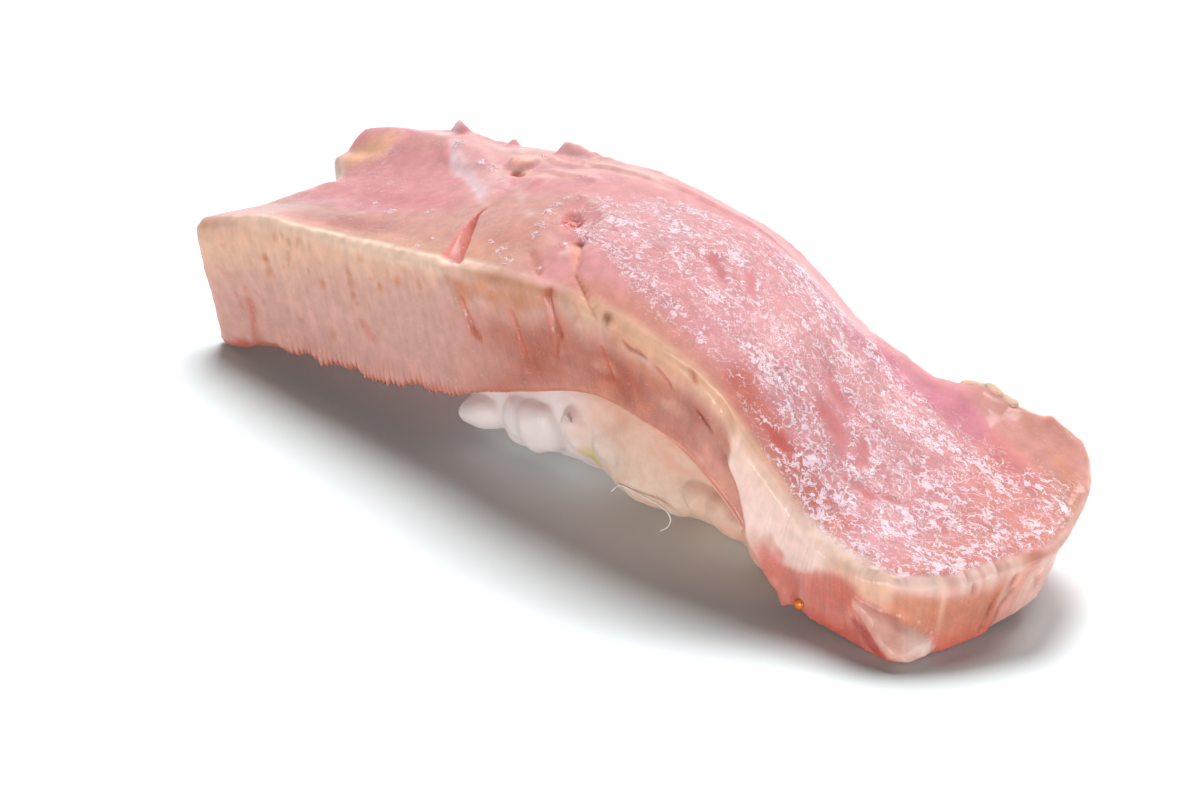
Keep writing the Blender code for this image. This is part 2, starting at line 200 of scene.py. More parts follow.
def spread(tree, value, low, high, to_low=0.0, to_high=1.0, **settings):
    """A value's range from low to high spread over another range, and held at its ends."""
    inputs = {"Value": value, "From Min": low, "From Max": high, "To Min": to_low, "To Max": to_high}
    return add_node(tree, "ShaderNodeMapRange", inputs, **settings).outputs["Result"]


def bumped(tree, height, strength, distance, over=None):
    """The normal of a bump, laid over another bump's."""
    inputs = {"Height": height, "Strength": strength, "Distance": distance}
    if over is not None:
        inputs["Normal"] = over
    return add_node(tree, "ShaderNodeBump", inputs).outputs["Normal"]


def blend_colours(tree, share, first, second, kind="MIX"):
    """Colours mixed by a share from 0, the first, to 1, the second."""
    inputs = {0: share, 6: first, 7: second}
    return add_node(tree, "ShaderNodeMix", inputs, data_type="RGBA", blend_type=kind).outputs[2]


print("helpers for nodes:", [made.__name__ for made in (add_node, sum_of, noise_texture, spread, bumped)])

# %% New materials and tones
def new_material(name):
    """A material with nodes, its tree and its Principled shader."""
    material = bpy.data.materials.new(name)
    material.use_nodes = True
    return material, material.node_tree, material.node_tree.nodes["Principled BSDF"]


TONE_GAIN = 0.86  # the lit flesh looks this much brighter than its own colour


def tone(red, green, blue):
    """A lit colour as a screen shows it, from 0 to 255, turned into the colour of the stuff itself."""
    return tuple(TONE_GAIN * ((c / 255 + 0.055) / 1.055) ** 2.4 for c in (red, green, blue))


def paint(red, green, blue):
    """The same tone with the fourth number that a colour socket needs."""
    return (*tone(red, green, blue), 1)


print("a lit pink of 230, 162, 164 is stored as", [round(c, 2) for c in tone(230, 162, 164)])


# %% Lay the floor
FLOOR_HALF = 1.5
FLOOR_RISE = 0.9
FLOOR_CURVE = 0.5
FLOOR_STEPS = 32


def make_floor():
    """A sheet that is flat under the object and curves up far behind it."""
    rows = []
    for k in range(FLOOR_STEPS + 1):
        along = k / FLOOR_STEPS * (2 * FLOOR_HALF + FLOOR_RISE)
        over = max(0.0, along - 2 * FLOOR_HALF + FLOOR_CURVE)
        rise = over * over / (4 * FLOOR_CURVE)
        rows.append((min(along, 2 * FLOOR_HALF + 0.2 * over) - FLOOR_HALF, rise))
    points = [(x, y, z) for y, z in rows for x in (-FLOOR_HALF, FLOOR_HALF)]
    faces = [(2 * k, 2 * k + 1, 2 * k + 3, 2 * k + 2) for k in range(len(rows) - 1)]
    mesh = bpy.data.meshes.new("floor")
    mesh.from_pydata(points, [], faces)
    mesh.shade_smooth()
    made = bpy.data.objects.new("floor", mesh)
    bpy.context.scene.collection.objects.link(made)
    material, tree, shader = new_material("pale_paper")
    place = add_node(tree, "ShaderNodeTexCoord").outputs["Object"]
    cloud = noise_texture(tree, place, 3.0, 2.0)["Fac"]
    shade = blend_colours(tree, cloud, (0.87, 0.93, 0.94, 1), (0.90, 0.96, 0.97, 1))
    feed_all(tree, shader, {"Base Color": shade, "Roughness": 0.8, "Specular IOR Level": 0.1})
    mesh.materials.append(material)
    return made


floor = make_floor()
floor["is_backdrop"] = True
print("floor is", 2 * FLOOR_HALF, "m wide")

# %% [markdown]
# ## The form of the slice
# The slice is drawn as a bent box. A place on the box has three numbers: how far along the slice,
# how far across it from the near cut face to the far edge, and how far up from the underside to
# the top. Curves through a few stations along the length then say where that place lies. The
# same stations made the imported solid, so the finer piece drawn here keeps its form. It could be
# sculpted, or bent by a lattice, but would then drift from the solid bit by bit.

# %% Curves along the slice
STATION_X = (-46.8, -39.5, -29.5, -19.0, -8.0, 3.0, 11.0, 17.5, 24.0, 31.0, 37.2)
UNDERSIDE_NEAR = (0.1, 2.0, 3.6, 5.8, 10.0, 13.6, 12.2, 8.4, 1.8, 0.3, 0.1)
UNDERSIDE_FAR = (2.2, 5.2, 8.0, 10.6, 13.0, 13.2, 10.2, 6.8, 5.4, 5.0, 4.6)
THICKNESS_NEAR = (12.9, 13.6, 13.6, 13.1, 11.2, 8.1, 7.5, 6.4, 8.2, 8.3, 8.2)
THICKNESS_FAR = (12.2, 12.2, 11.1, 10.4, 9.4, 7.8, 6.8, 6.4, 8.0, 7.6, 6.2)
CROWN = (-1.2, -1.7, -0.7, 1.2, 2.6, 3.4, 3.2, 2.4, 1.4, 0.8, 0.6)
FAR_EDGE_Y = (15.4, 16.2, 16.2, 16.2, 16.2, 16.2, 16.0, 16.2, 18.0, 19.6, 20.2)
NEAR_EDGE_Y = -7.0
NEAR_FOOT_Y = -8.2
FAR_TUCK = 2.2
LEAN_SHARE = 0.8
SLOPE_STEP = 5.0
TUCK_START_X = 10.0
TUCK_RUN = 15.0
TUCK_BEND = 1.4
LENGTH = STATION_X[-1] - STATION_X[0]


def smooth_through(xs, ys, x):
    """Values of a curve through the points (xs, ys) that never overshoots between two of them."""
    xs = np.asarray(xs, float)
    ys = np.asarray(ys, float)
    gaps = np.diff(xs)
    rises = np.diff(ys) / gaps
    slopes = np.zeros_like(ys)
    slopes[0] = rises[0]
    slopes[-1] = rises[-1]
    for i in range(1, len(xs) - 1):
        if rises[i - 1] * rises[i] > 0:
            left = 2 * gaps[i] + gaps[i - 1]
            right = gaps[i] + 2 * gaps[i - 1]
            slopes[i] = (left + right) / (left / rises[i - 1] + right / rises[i])
    i = np.clip(np.searchsorted(xs, x) - 1, 0, len(gaps) - 1)
    u = (x - xs[i]) / gaps[i]
    start = (1 + 2 * u) * (1 - u) ** 2 * ys[i] + u * (1 - u) ** 2 * gaps[i] * slopes[i]
    end = u * u * (3 - 2 * u) * ys[i + 1] + u * u * (u - 1) * gaps[i] * slopes[i + 1]
    return start + end


def ease(low, high, value):
    """Smooth step from 0 at low to 1 at high."""
    u = np.clip((value - low) / (high - low), 0.0, 1.0)
    return u * u * (3 - 2 * u)


def fall(low, high, value):
    """Smooth step from 1 at low to 0 at high."""
    return 1 - ease(low, high, value)


def underside(x, share):
    """Height of the slice's underside at x, with share from 0 at the near edge to 1 at the far one."""
    near = smooth_through(STATION_X, UNDERSIDE_NEAR, x)
    far = smooth_through(STATION_X, UNDERSIDE_FAR, x)
    bend = 1 + TUCK_BEND * np.clip((x - TUCK_START_X) / TUCK_RUN, 0, 1)
    return near + (far - near) * share**bend


def lean_angle(x):
    """Angle by which the slice's thickness tips with the bend of its underside."""
    before = np.maximum(x - SLOPE_STEP, STATION_X[0])
    after = np.minimum(x + SLOPE_STEP, STATION_X[-1])
    return LEAN_SHARE * np.arctan((underside(after, 0.5) - underside(before, 0.5)) / (after - before))


print("length between the first and last station, mm:", round(LENGTH, 1))

# %% The ends, the curled lip and the broad hollows
END_ACROSS = (-1.0, -0.45, 0.05, 0.5, 1.0)
RIGHT_REACH_TOP = (-0.6, 3.2, 6.0, 4.4, -0.6)
RIGHT_REACH_FOOT = (0.4, 2.8, 4.0, 1.2, -2.8)
LEFT_REACH_TOP = (2.2, -0.6, -3.2, -0.8, -2.8)
LEFT_REACH_FOOT = (1.3, 0.6, -0.4, 0.0, -1.0)
RIGHT_REACH_SHARE = 0.2
LEFT_REACH_SHARE = 0.14
REACH_POWER = 1.5
LIP_SHARE = 0.34
LIP_HEIGHT = 2.2
LIP_ACROSS = 0.62
LIP_WIDTH = 0.22
LIP_DROP = 1.2
TEAR_LEFT_X = -43.0
TEAR_RIGHT_X = -19.5
TEAR_DEPTH = 0.9
TEAR_PITCH = 3.1
TEAR_UNEVEN = 0.4
TEAR_UNEVEN_PITCH = 3.7
TEAR_REACH = 0.35
# Broad hollows in the top: place along, place across, depth, half length, half width, turn
BROAD_HOLLOWS = (
    (5.2, 2.7, 0.6, 3.0, 1.4, -30.0),
    (16.9, 3.9, 0.8, 4.0, 1.6, -30.0),
    (21.5, -1.0, 0.5, 4.0, 2.2, -30.0),
    (25.0, 3.6, 1.0, 12.0, 2.4, -28.0),
    (31.0, 17.5, 1.1, 6.0, 2.2, 8.0),
)
# How much the far edge is raised along the slice, and the top of the left end across it
FAR_LIFT_X = (2.0, 5.0, 8.0, 12.0, 13.9, 15.8, 17.0, 19.0, 23.0, 27.0, 30.0, 34.0, 38.0)
FAR_LIFT = (0.0, -0.6, -0.75, -0.9, 0.05, 1.05, 1.3, 1.4, 1.5, 0.7, 0.5, 0.7, 0.5)
LEFT_LIFT_Y = (-7.0, -5.0, -1.0, 2.0, 3.4, 4.4, 6.5, 8.5, 9.8, 11.5, 14.0)
LEFT_LIFT = (-0.9, -0.5, -0.15, 0.65, 0.8, 0.95, 0.6, 0.1, -0.5, 0.5, 0.8)
# How far the top of the left end is drawn in across it, with an ear that stands out
LEFT_PULL_Y = (4.0, 5.0, 6.5, 7.6, 8.8, 10.0, 11.5, 13.0)
LEFT_PULL = (0.0, 0.3, 1.0, 0.5, -0.4, 0.5, 0.7, 0.2)
# Flakes that stand up along the far edge: place along, height, width to the left and to the right
FAR_FLAKES = (
    (-36.4, 1.5, 0.4, 1.3), (-29.2, 0.6, 0.35, 0.6), (-22.2, 1.3, 0.5, 4.5), (32.4, 0.8, 1.0, 1.6),
)
LEFT_HOLLOW = 0.45  # how far the cut face is hollowed next to the left end
TORN_SHARE = 0.6  # how much of the torn rim's waves the form itself follows
TOP_FADE = (0.55, 1.0)  # share of the height over which a shape of the top fades in
print("broad hollows:", len(BROAD_HOLLOWS), "and flakes on the far edge:", len(FAR_FLAKES))

# %% A place on the slice
def end_reach(s, t, h):
    """How far the two ends stand out past the first and last station."""
    right = np.clip(1 - (1 - s) / RIGHT_REACH_SHARE, 0, 1) ** REACH_POWER
    left = np.clip(1 - s / LEFT_REACH_SHARE, 0, 1) ** REACH_POWER
    right_top = smooth_through(END_ACROSS, RIGHT_REACH_TOP, t)
    right_foot = smooth_through(END_ACROSS, RIGHT_REACH_FOOT, t)
    left_top = smooth_through(END_ACROSS, LEFT_REACH_TOP, t)
    left_foot = smooth_through(END_ACROSS, LEFT_REACH_FOOT, t)
    return right * (right_foot * (1 - h) + right_top * h) - left * (left_foot * (1 - h) + left_top * h)


def oval(x, y, along, across, half_length, half_width, turn):
    """Places in an oval's own measures: both are 1 at its rim."""
    c = math.cos(math.radians(turn))
    s = math.sin(math.radians(turn))
    u = ((x - along) * c + (y - across) * s) / half_length
    v = (-(x - along) * s + (y - across) * c) / half_width
    return u, v


def broad_hollows(x, y):
    """Depth of the smooth hollows in the top."""
    depth = np.zeros_like(x)
    for along, across, deep, *form in BROAD_HOLLOWS:
        u, v = oval(x, y, along, across, *form)
        depth += deep * np.exp(-(u * u + v * v))
    return depth


def torn_rim(x, h):
    """How far the torn lower rim of the cut face is notched upwards."""
    begun = ease(TEAR_LEFT_X, TEAR_LEFT_X + TEAR_PITCH, x)
    ended = ease(TEAR_RIGHT_X, TEAR_RIGHT_X + TEAR_PITCH, x)
    uneven = 1 - TEAR_UNEVEN + TEAR_UNEVEN * np.sin(2 * math.pi * x / TEAR_UNEVEN_PITCH)
    wave = np.abs(np.sin(math.pi * x / TEAR_PITCH)) * uneven
    return TEAR_DEPTH * begun * (1 - ended) * wave * fall(0.0, TEAR_REACH, h)


def slice_point(s, t, h):
    """The slice's surface: s runs along it, t from -1 near to 1 far, h from 0 underneath to 1 on top."""
    x = STATION_X[0] + LENGTH * s
    share = (t + 1) / 2
    near = smooth_through(STATION_X, THICKNESS_NEAR, x)
    far = smooth_through(STATION_X, THICKNESS_FAR, x)
    crown = smooth_through(STATION_X, CROWN, x)
    thickness = near * (1 - share) + far * share + crown * (1 - t * t)
    lean = lean_angle(x)
    near_y = NEAR_FOOT_Y * (1 - h) + NEAR_EDGE_Y * h
    far_y = smooth_through(STATION_X, FAR_EDGE_Y, x) - FAR_TUCK * (1 - h)
    px = x - np.sin(lean) * thickness * h + end_reach(s, t, h)
    py = near_y * (1 - share) + far_y * share
    pz = underside(x, share) + np.cos(lean) * thickness * h
    lip = np.clip(1 - s / LIP_SHARE, 0, 1) * h
    pz += lip * LIP_HEIGHT * np.exp(-(((t - LIP_ACROSS) / LIP_WIDTH) ** 2))
    pz -= lip * LIP_DROP * np.clip((t - LIP_ACROSS) / (1 - LIP_ACROSS), 0, 1) ** 2
    flakes = np.zeros_like(x)
    for along, height, left, right in FAR_FLAKES:
        flakes += height * np.exp(-(((x - along) / np.where(x < along, left, right)) ** 2))
    on_top = ease(*TOP_FADE, h)
    pz += on_top * (flakes * ease(0.82, 0.98, t) - broad_hollows(x, py))
    pz += on_top * ease(0.45, 0.95, t) * np.interp(x, FAR_LIFT_X, FAR_LIFT)
    at_left = fall(-45.5, -38.0, x) * ease(0.3, 1.0, h)
    pz += at_left * np.interp(py, LEFT_LIFT_Y, LEFT_LIFT)
    px += at_left * np.interp(py, LEFT_PULL_Y, LEFT_PULL)
    at_face = fall(-0.9, -0.5, t) * ease(0.2, 0.6, h) * fall(0.85, 1.0, h)
    px -= LEFT_HOLLOW * fall(-46.5, -43.0, x) * at_face
    pz += TORN_SHARE * fall(-1.0, -0.6, t) * torn_rim(x, h)
    return np.stack([px, py, pz], axis=-1)


reach = end_reach(np.ones(1), np.zeros(1), np.ones(1))
print("the right end stands out past its last station, mm:", round(float(reach[0]), 1))

# %% [markdown]
# ## A fine skin over the form
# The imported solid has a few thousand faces. The piece that shows needs cells of 0.15 to 0.35 mm,
# so that cuts, flakes and torn teeth are real shapes. Its cells are closest where the torn rim
# and the slit are. The box's edges are rounded by moving their places inwards. Subdividing the
# solid is quicker, but spreads its cells evenly, and most would lie where nothing happens.

# %% Grid of the whole skin
ALONG_SPANS = ((-40.0, 20), (-10.0, 188), (0.0, 42), (37.2, 118))
ACROSS_CELLS = 74
UP_CELLS = 33
HALF_ACROSS = 12.0
SLAB_SIZE = (LENGTH, 2 * HALF_ACROSS, 10.0)
EDGE_RADIUS = (0.9, 1.9)


def rounded(s, t, h, size, radius):
    """Moves places on a box's surface inwards at its edges, so that these are round."""
    half = np.asarray(size, float) / 2
    place = np.stack([(2 * s - 1) * half[0], t * half[1], (2 * h - 1) * half[2]], axis=-1)
    reach = half - np.asarray(radius)[..., None]
    inner = np.clip(place, -reach, reach)
    out = place - inner
    far = np.max(np.abs(out), axis=-1, keepdims=True)
    long = np.linalg.norm(out, axis=-1, keepdims=True)
    place = inner + out * np.where(long > 0, far / np.maximum(long, 1e-9), 1.0)
    return (place[..., 0] / half[0] + 1) / 2, place[..., 1] / half[1], (place[..., 2] / half[2] + 1) / 2


def box_shell(samples):
    """Grid places and quads over the whole surface of a box, closed, with the quads facing out."""
    cells = [len(line) - 1 for line in samples]
    index = {}
    places = []

    def corner(i, j, k):
        if (i, j, k) not in index:
            index[i, j, k] = len(places)
            places.append((samples[0][i], samples[1][j], samples[2][k]))
        return index[i, j, k]

    quads = []
    for axis in range(3):
        u = (axis + 1) % 3
        v = (axis + 2) % 3
        for side in (0, cells[axis]):
            for a in range(cells[u]):
                for b in range(cells[v]):
                    loop = []
                    for da, db in ((0, 0), (1, 0), (1, 1), (0, 1)):
                        key = [0, 0, 0]
                        key[axis] = side
                        key[u] = a + da
                        key[v] = b + db
                        loop.append(corner(*key))
                    quads.append(loop if side else loop[::-1])
    return np.array(places), np.array(quads)


along = [STATION_X[0]]
for end, cells in ALONG_SPANS:
    along.extend(np.linspace(along[-1], end, cells + 1)[1:])
along = (np.array(along) - STATION_X[0]) / LENGTH
across, up = np.linspace(0, 1, ACROSS_CELLS + 1), np.linspace(0, 1, UP_CELLS + 1)
box_place, quads = box_shell([along, across, up])
S0, T0, H0 = box_place[:, 0], box_place[:, 1] * 2 - 1, box_place[:, 2]
radius = EDGE_RADIUS[0] + (EDGE_RADIUS[1] - EDGE_RADIUS[0]) * ease(0.5, 1.0, S0)
s, t, h = rounded(S0, T0, H0, SLAB_SIZE, radius)
place = slice_point(s, t, h)
X = STATION_X[0] + LENGTH * s
Y = place[:, 1].copy()
UP = h * smooth_through(STATION_X, THICKNESS_NEAR, X)
print("skin of the slice:", len(place), "points,", 2 * len(quads), "triangles")

# %% Where each side of the slice is
ON_TOP = ease(*TOP_FADE, h)
ON_NEAR = fall(-1.0, -0.955, T0)
ON_FAR = ease(0.955, 1.0, T0)
ON_RIGHT_END = ease(0.988, 1.0, S0)
ON_LEFT_END = fall(0.0, 0.01, S0)
ON_UNDERSIDE = fall(0.0, 0.06, H0)
TOP_ONLY = ease(0.9, 1.0, H0) * (1 - ON_NEAR) * (1 - ON_RIGHT_END)
print("share of the points that are on the top:", round(float(TOP_ONLY.mean()), 2))

# %% Noise and soft lines
def noise(points, size, seed):
    """Smooth noise from -1 to 1 over points, with bumps of this size, or of a size along each axis."""
    p = np.asarray(points, float) / np.asarray(size, float)
    cell = np.floor(p).astype(np.int64)
    f = p - cell
    f = f * f * (3 - 2 * f)
    table = np.random.default_rng(seed).uniform(-1, 1, 4096)
    total = np.zeros(len(p))
    for corner in range(8):
        pick = np.array([corner & 1, corner >> 1 & 1, corner >> 2 & 1])
        key = cell + pick
        mark = (key[:, 0] * 73856093 ^ key[:, 1] * 19349663 ^ key[:, 2] * 83492791) & 4095
        total += table[mark] * np.prod(np.where(pick, f, 1 - f), axis=1)
    return total


def line_gap(u, v, points, half_widths):
    """Distance from a bent line through the points, as a share of the half width there."""
    best = np.full(u.shape, np.inf)
    for a, b, wide_a, wide_b in zip(points, points[1:], half_widths, half_widths[1:]):
        du = b[0] - a[0]
        dv = b[1] - a[1]
        share = np.clip(((u - a[0]) * du + (v - a[1]) * dv) / (du * du + dv * dv), 0, 1)
        gap = np.hypot(u - a[0] - share * du, v - a[1] - share * dv)
        best = np.minimum(best, gap / (wide_a + share * (wide_b - wide_a)))
    return best


def on_line(u, v, points, half_widths, core=0.5):
    """1 along a bent line, easing to 0 at its half width."""
    return fall(core, 1.0, line_gap(u, v, points, half_widths))


def on_line3(points, radii, core=0.3):
    """1 along a bent line in space through the slice's drawing, easing to 0 at its radius."""
    best = np.full(len(place), np.inf)
    for a, b, wide_a, wide_b in zip(points, points[1:], radii, radii[1:]):
        a, b = np.array(a, float), np.array(b, float)
        share = np.clip((place - a) @ (b - a) / ((b - a) @ (b - a)), 0, 1)
        gap = np.linalg.norm(place - a - share[:, None] * (b - a), axis=1)
        best = np.minimum(best, gap / (wide_a + share * (wide_b - wide_a)))
    return fall(core, 1.0, best)


def face_point(x, up):
    """A place on the cut face, given as a share of its height, in millimetres."""
    return x, up * float(smooth_through(STATION_X, THICKNESS_NEAR, np.array([x]))[0])


def face_line(points):
    """Such places along a line."""
    return [face_point(*p) for p in points]


def flat(u, v):
    """Places in a plane, for noise that doesn't change across it."""
    return np.stack([u, v, 0 * u], axis=-1)


wander = 0.35 * noise(place, 1.6, 3)
print("noise runs from", round(float(wander.min()), 2), "to", round(float(wander.max()), 2))

# %% [markdown]
# ## Cuts and folds in the top
# The top of the slice has a slit, a crater with a deep red pit, a pocket below it and a small
# tunnel under a flake. In the slit and the pocket the floor slopes down under one steep wall,
# as a cut does when the knife went in at an angle. Each is a small formula in place along and
# across, so it can be moved or deepened by one number. Cutting them out with Booleans would
# leave hard rims and thin faces, which shade badly in soft flesh.

# %% Slit, crater, pit and pocket
SLIT = ((-18.3, 1.6), (-13.5, -6.0), 2.6, 1.8)
POCKET = ((-4.2, -0.6), (-1.9, -4.8), 1.7, 0.95)
CRATER = (-6.8, 0.9, 4.6, 2.6, -55.0)
PIT = (-7.3, 1.4, 1.75, 1.15, -53.0)
TUNNEL = (-21.8, 8.9, 1.6, 0.5, -12.0)
CREASE = ((-1.9, -4.8), (-1.0, -5.4), (0.6, -6.5), (1.6, -7.0))
SIDE_CREASE = ((-7.3, -3.9), (-6.3, -4.7), (-5.2, -5.7))
RIM_RUFFLE = 0.12


def slanting_cut(x, y, start, end, width, depth, widest_at_end=False):
    """A cut with one steep wall from start to end and a floor that rises away from it.

    Gives its depth, how far inside it a place is, and the distance from the steep wall."""
    length = math.hypot(end[0] - start[0], end[1] - start[1])
    du = (end[0] - start[0]) / length
    dv = (end[1] - start[1]) / length
    a = ((x - start[0]) * du + (y - start[1]) * dv) / length
    w = (x - start[0]) * dv - (y - start[1]) * du
    from_wide = 1 - a if widest_at_end else a
    wide = width * np.clip(1 - from_wide, 0, 1) ** 0.7 * ease(-0.08, 0.06, from_wide)
    share = w / np.maximum(wide, 0.05)
    inside = ease(-0.12, 0.0, w) * fall(0.85, 1.05, share) * (wide > 0.06)
    deep = depth * inside * fall(-0.1, 1.0, share) * (1 - 0.6 * np.clip(from_wide, 0, 1) ** 3)
    return deep, inside, w


slit_depth, slit_in, slit_w = slanting_cut(X + 0.5 * wander, Y + 0.3 * wander, *SLIT, True)
slit_lip = np.exp(-(((slit_w - SLIT[2]) / 0.35) ** 2)) * on_line(X, Y, SLIT[:2], (3.0, 2.0), 0.3)

crater_u, crater_v = oval(X, Y, *CRATER)
crater_r = np.hypot(crater_u, crater_v)
crater_in = fall(0.55, 1.05, crater_r)
ruffle = noise(place, 0.55, 11)
crater_rim = np.exp(-(((crater_r - 1.02 + 0.05 * ruffle) / 0.13) ** 2))
pit_u, pit_v = oval(X, Y, *PIT)
pit_in = fall(0.4, 1.15, np.hypot(pit_u, pit_v) + 0.2 * ruffle)
pocket_depth, pocket_in, pocket_w = slanting_cut(X, Y, *POCKET)
tunnel_u, tunnel_v = oval(X, Y, *TUNNEL)
tunnel_in = fall(0.5, 1.0, np.hypot(tunnel_u, tunnel_v))
crease_in = on_line(X, Y, CREASE, (0.25, 0.25, 0.3, 0.4), 0.1)
side_in = on_line(X, Y, SIDE_CREASE, (0.5, 0.75, 0.5), 0.1)

top_cut = slit_depth - 0.15 * slit_lip
top_cut += 0.3 * crater_in - (0.06 + RIM_RUFFLE * ruffle) * crater_rim * (crater_v > -0.5)
top_cut += 0.85 * pit_in * ease(-1.3, 0.8, pit_v) + pocket_depth + 0.55 * tunnel_in
top_cut += 0.5 * crease_in + 0.35 * side_in
place[:, 2] -= top_cut * ON_TOP
print("deepest cut in the top, mm:", round(float((top_cut * ON_TOP).max()), 2))

# %% [markdown]
# ## The wet side of the slice
# Right of the crown the top is a wet membrane: fine wrinkles that glint, cut by longer folds that
# run down the slope, with smooth red hollows between them. The folds are shape. The finest
# wrinkles are bump in the material, and `WET` says where they are. There the material also paints
# glints into the colour as pale strokes, with painted shade in the grooves between them. All of
# them as shape would need millions of faces, and all as bump would leave the slope as smooth as
# glass from the side.

# %% Membrane folds and smooth hollows
WET_NEAR_EDGE = (
    (-9.0, 1.0), (-2.0, -1.5), (1.0, -3.6), (7.0, -5.0), (15.0, -5.6), (22.0, -6.4), (38.0, -6.9),
)
WET_FAR_EDGE = (
    (-9.0, 6.5), (-2.0, 10.0), (7.0, 12.8), (15.0, 12.6), (22.0, 11.8), (30.0, 11.0), (38.0, 15.0),
)
# Smooth red hollows: place along, place across, half length, half width, turn
RED_HOLLOWS = (
    (5.2, 3.2, 2.6, 0.7, -42.0),
    (7.0, 4.6, 1.4, 0.5, -50.0),
    (16.2, 3.8, 2.2, 1.5, -10.0),
    (18.4, 1.2, 2.3, 1.5, -20.0),
    (17.4, -4.3, 1.5, 0.6, 10.0),
    (20.6, 2.2, 1.3, 0.8, -50.0),
    (23.2, -0.2, 2.0, 0.7, 10.0),
    (25.6, 1.6, 2.6, 0.6, 30.0),
)


def straight_through(points, x):
    """Values of straight lines through the points."""
    return np.interp(x, [p[0] for p in points], [p[1] for p in points])


low_edge = straight_through(WET_NEAR_EDGE, X) + 1.4 * wander
high_edge = straight_through(WET_FAR_EDGE, X) + 2.4 * wander
WET = ease(-1.0, 1.2, Y - low_edge) * fall(-2.0, 2.0, Y - high_edge) * ease(-10.0, -6.0, X)
WET *= TOP_ONLY
hollow = np.zeros_like(X)
for form in RED_HOLLOWS:
    hollow = np.maximum(hollow, fall(0.15, 1.35, np.hypot(*oval(X, Y, *form)) + 1.3 * wander))
WET *= 1 - 0.95 * ease(0.15, 0.75, hollow)
flow_at = flat(X, Y + 0.25 * X) + 0.6 * wander[:, None]
clumps = 0.5 * noise(flow_at, (5.0, 2.4, 1.0), 20) + 0.45 * noise(flow_at, (2.4, 0.9, 1.0), 19)
WET *= 0.55 + 0.6 * clumps + 0.2 * ease(9.0, 22.0, X)
# Small wet spots elsewhere, which get painted glints too: place along, place across, radius, height
SPARKS = (
    (-10.0, 1.5, 0.8, 0.18), (-10.3, 2.8, 0.7, 0.2), (-10.0, 4.0, 0.7, 0.2), (-9.2, 4.5, 0.6, 0.2),
    (-9.1, -0.6, 0.7, 0.12), (-8.6, -2.0, 0.6, 0.1), (-10.5, -4.5, 0.6, 0.12), (-8.9, -5.3, 0.7, 0.15),
    (-12.3, -3.6, 0.6, 0.08), (-25.5, 9.3, 1.0, 0.25), (-27.5, 9.6, 0.7, 0.15),
    (-30.3, 0.2, 0.9, 0.15), (-25.2, 0.5, 0.7, 0.1), (-19.6, -4.2, 0.5, 0.08), (-14.6, -6.1, 1.0, 0.25),
    (-5.3, -2.1, 0.9, 0.3), (-5.7, -5.1, 0.5, 0.15), (-32.5, 11.4, 1.0, 0.15), (-23.0, 13.2, 0.7, 0.2),
    (29.0, -6.4, 1.2, 0.12), (27.6, -6.3, 0.8, 0.1), (30.8, -6.5, 0.9, 0.1), (-17.7, 6.9, 0.6, 0.1),
    (-34.0, 2.0, 0.5, 0.1),
)
spark = np.zeros_like(X)
spark_lift = np.zeros_like(X)
for place_along, place_across, half_width, lift in SPARKS:
    gap = np.hypot(X - place_along, Y - place_across) / half_width
    near_spark = fall(0.3, 1.0, gap + 0.6 * wander)
    spark = np.maximum(spark, near_spark)
    spark_lift = np.maximum(spark_lift, lift * near_spark)
spark *= TOP_ONLY
place[:, 2] += spark_lift * TOP_ONLY * (0.7 + 0.5 * ruffle)
WET = np.clip(np.maximum(WET, spark), 0, 1)
damp = (0.08 + 0.1 * noise(place, 3.0, 28)) * TOP_ONLY * fall(-12, -5, X)
WET = np.maximum(WET, np.clip(damp, 0, 1))

bend = flat(X, Y + 0.35 * X)
folds = noise(bend + 0.8 * wander[:, None], (5.5, 1.5, 1.0), 21) + 0.5 * noise(bend, (2.4, 0.8, 1.0), 22)
wrinkles = noise(place, (0.8, 0.6, 0.8), 23) + 0.6 * noise(place, 0.45, 24)
place[:, 2] += TOP_ONLY * (0.11 * WET * folds + 0.02 * WET * wrinkles - 0.16 * hollow)
place[:, 2] += TOP_ONLY * 0.09 * noise(place, (4.0, 2.5, 4.0), 25)
print("share of the skin that is wet membrane:", round(float((WET > 0.5).mean()), 2))

# %% Small forms on the top
BUBBLE = (-16.5, 7.0, 1.1, 0.9, 30.0)
# Thin flakes laid on the top: place along, place across, half length, half width, turn, height
FLAKE_SHEETS = (
    (-23.2, 11.2, 2.2, 1.7, 0.0, 0.8),
    (-30.5, 10.6, 4.6, 1.6, -12.0, 0.35),
    (-14.5, 9.6, 5.0, 0.9, -14.0, 0.3),
    (-18.5, 12.6, 4.0, 0.8, -8.0, 0.35),
    (-12.5, 12.8, 6.0, 0.7, -3.0, 0.4),
    (-2.0, 13.2, 7.0, 0.6, -4.0, 0.35),
)
for *form, height in FLAKE_SHEETS:
    fu, fv = oval(X, Y, *form)
    lift = fall(0.7, 1.05, np.hypot(fu, fv) + 0.4 * wander) * (0.4 + 0.6 * ease(1.0, -1.0, fv))
    place[:, 2] += height * lift * ON_TOP * (1 - ON_NEAR)
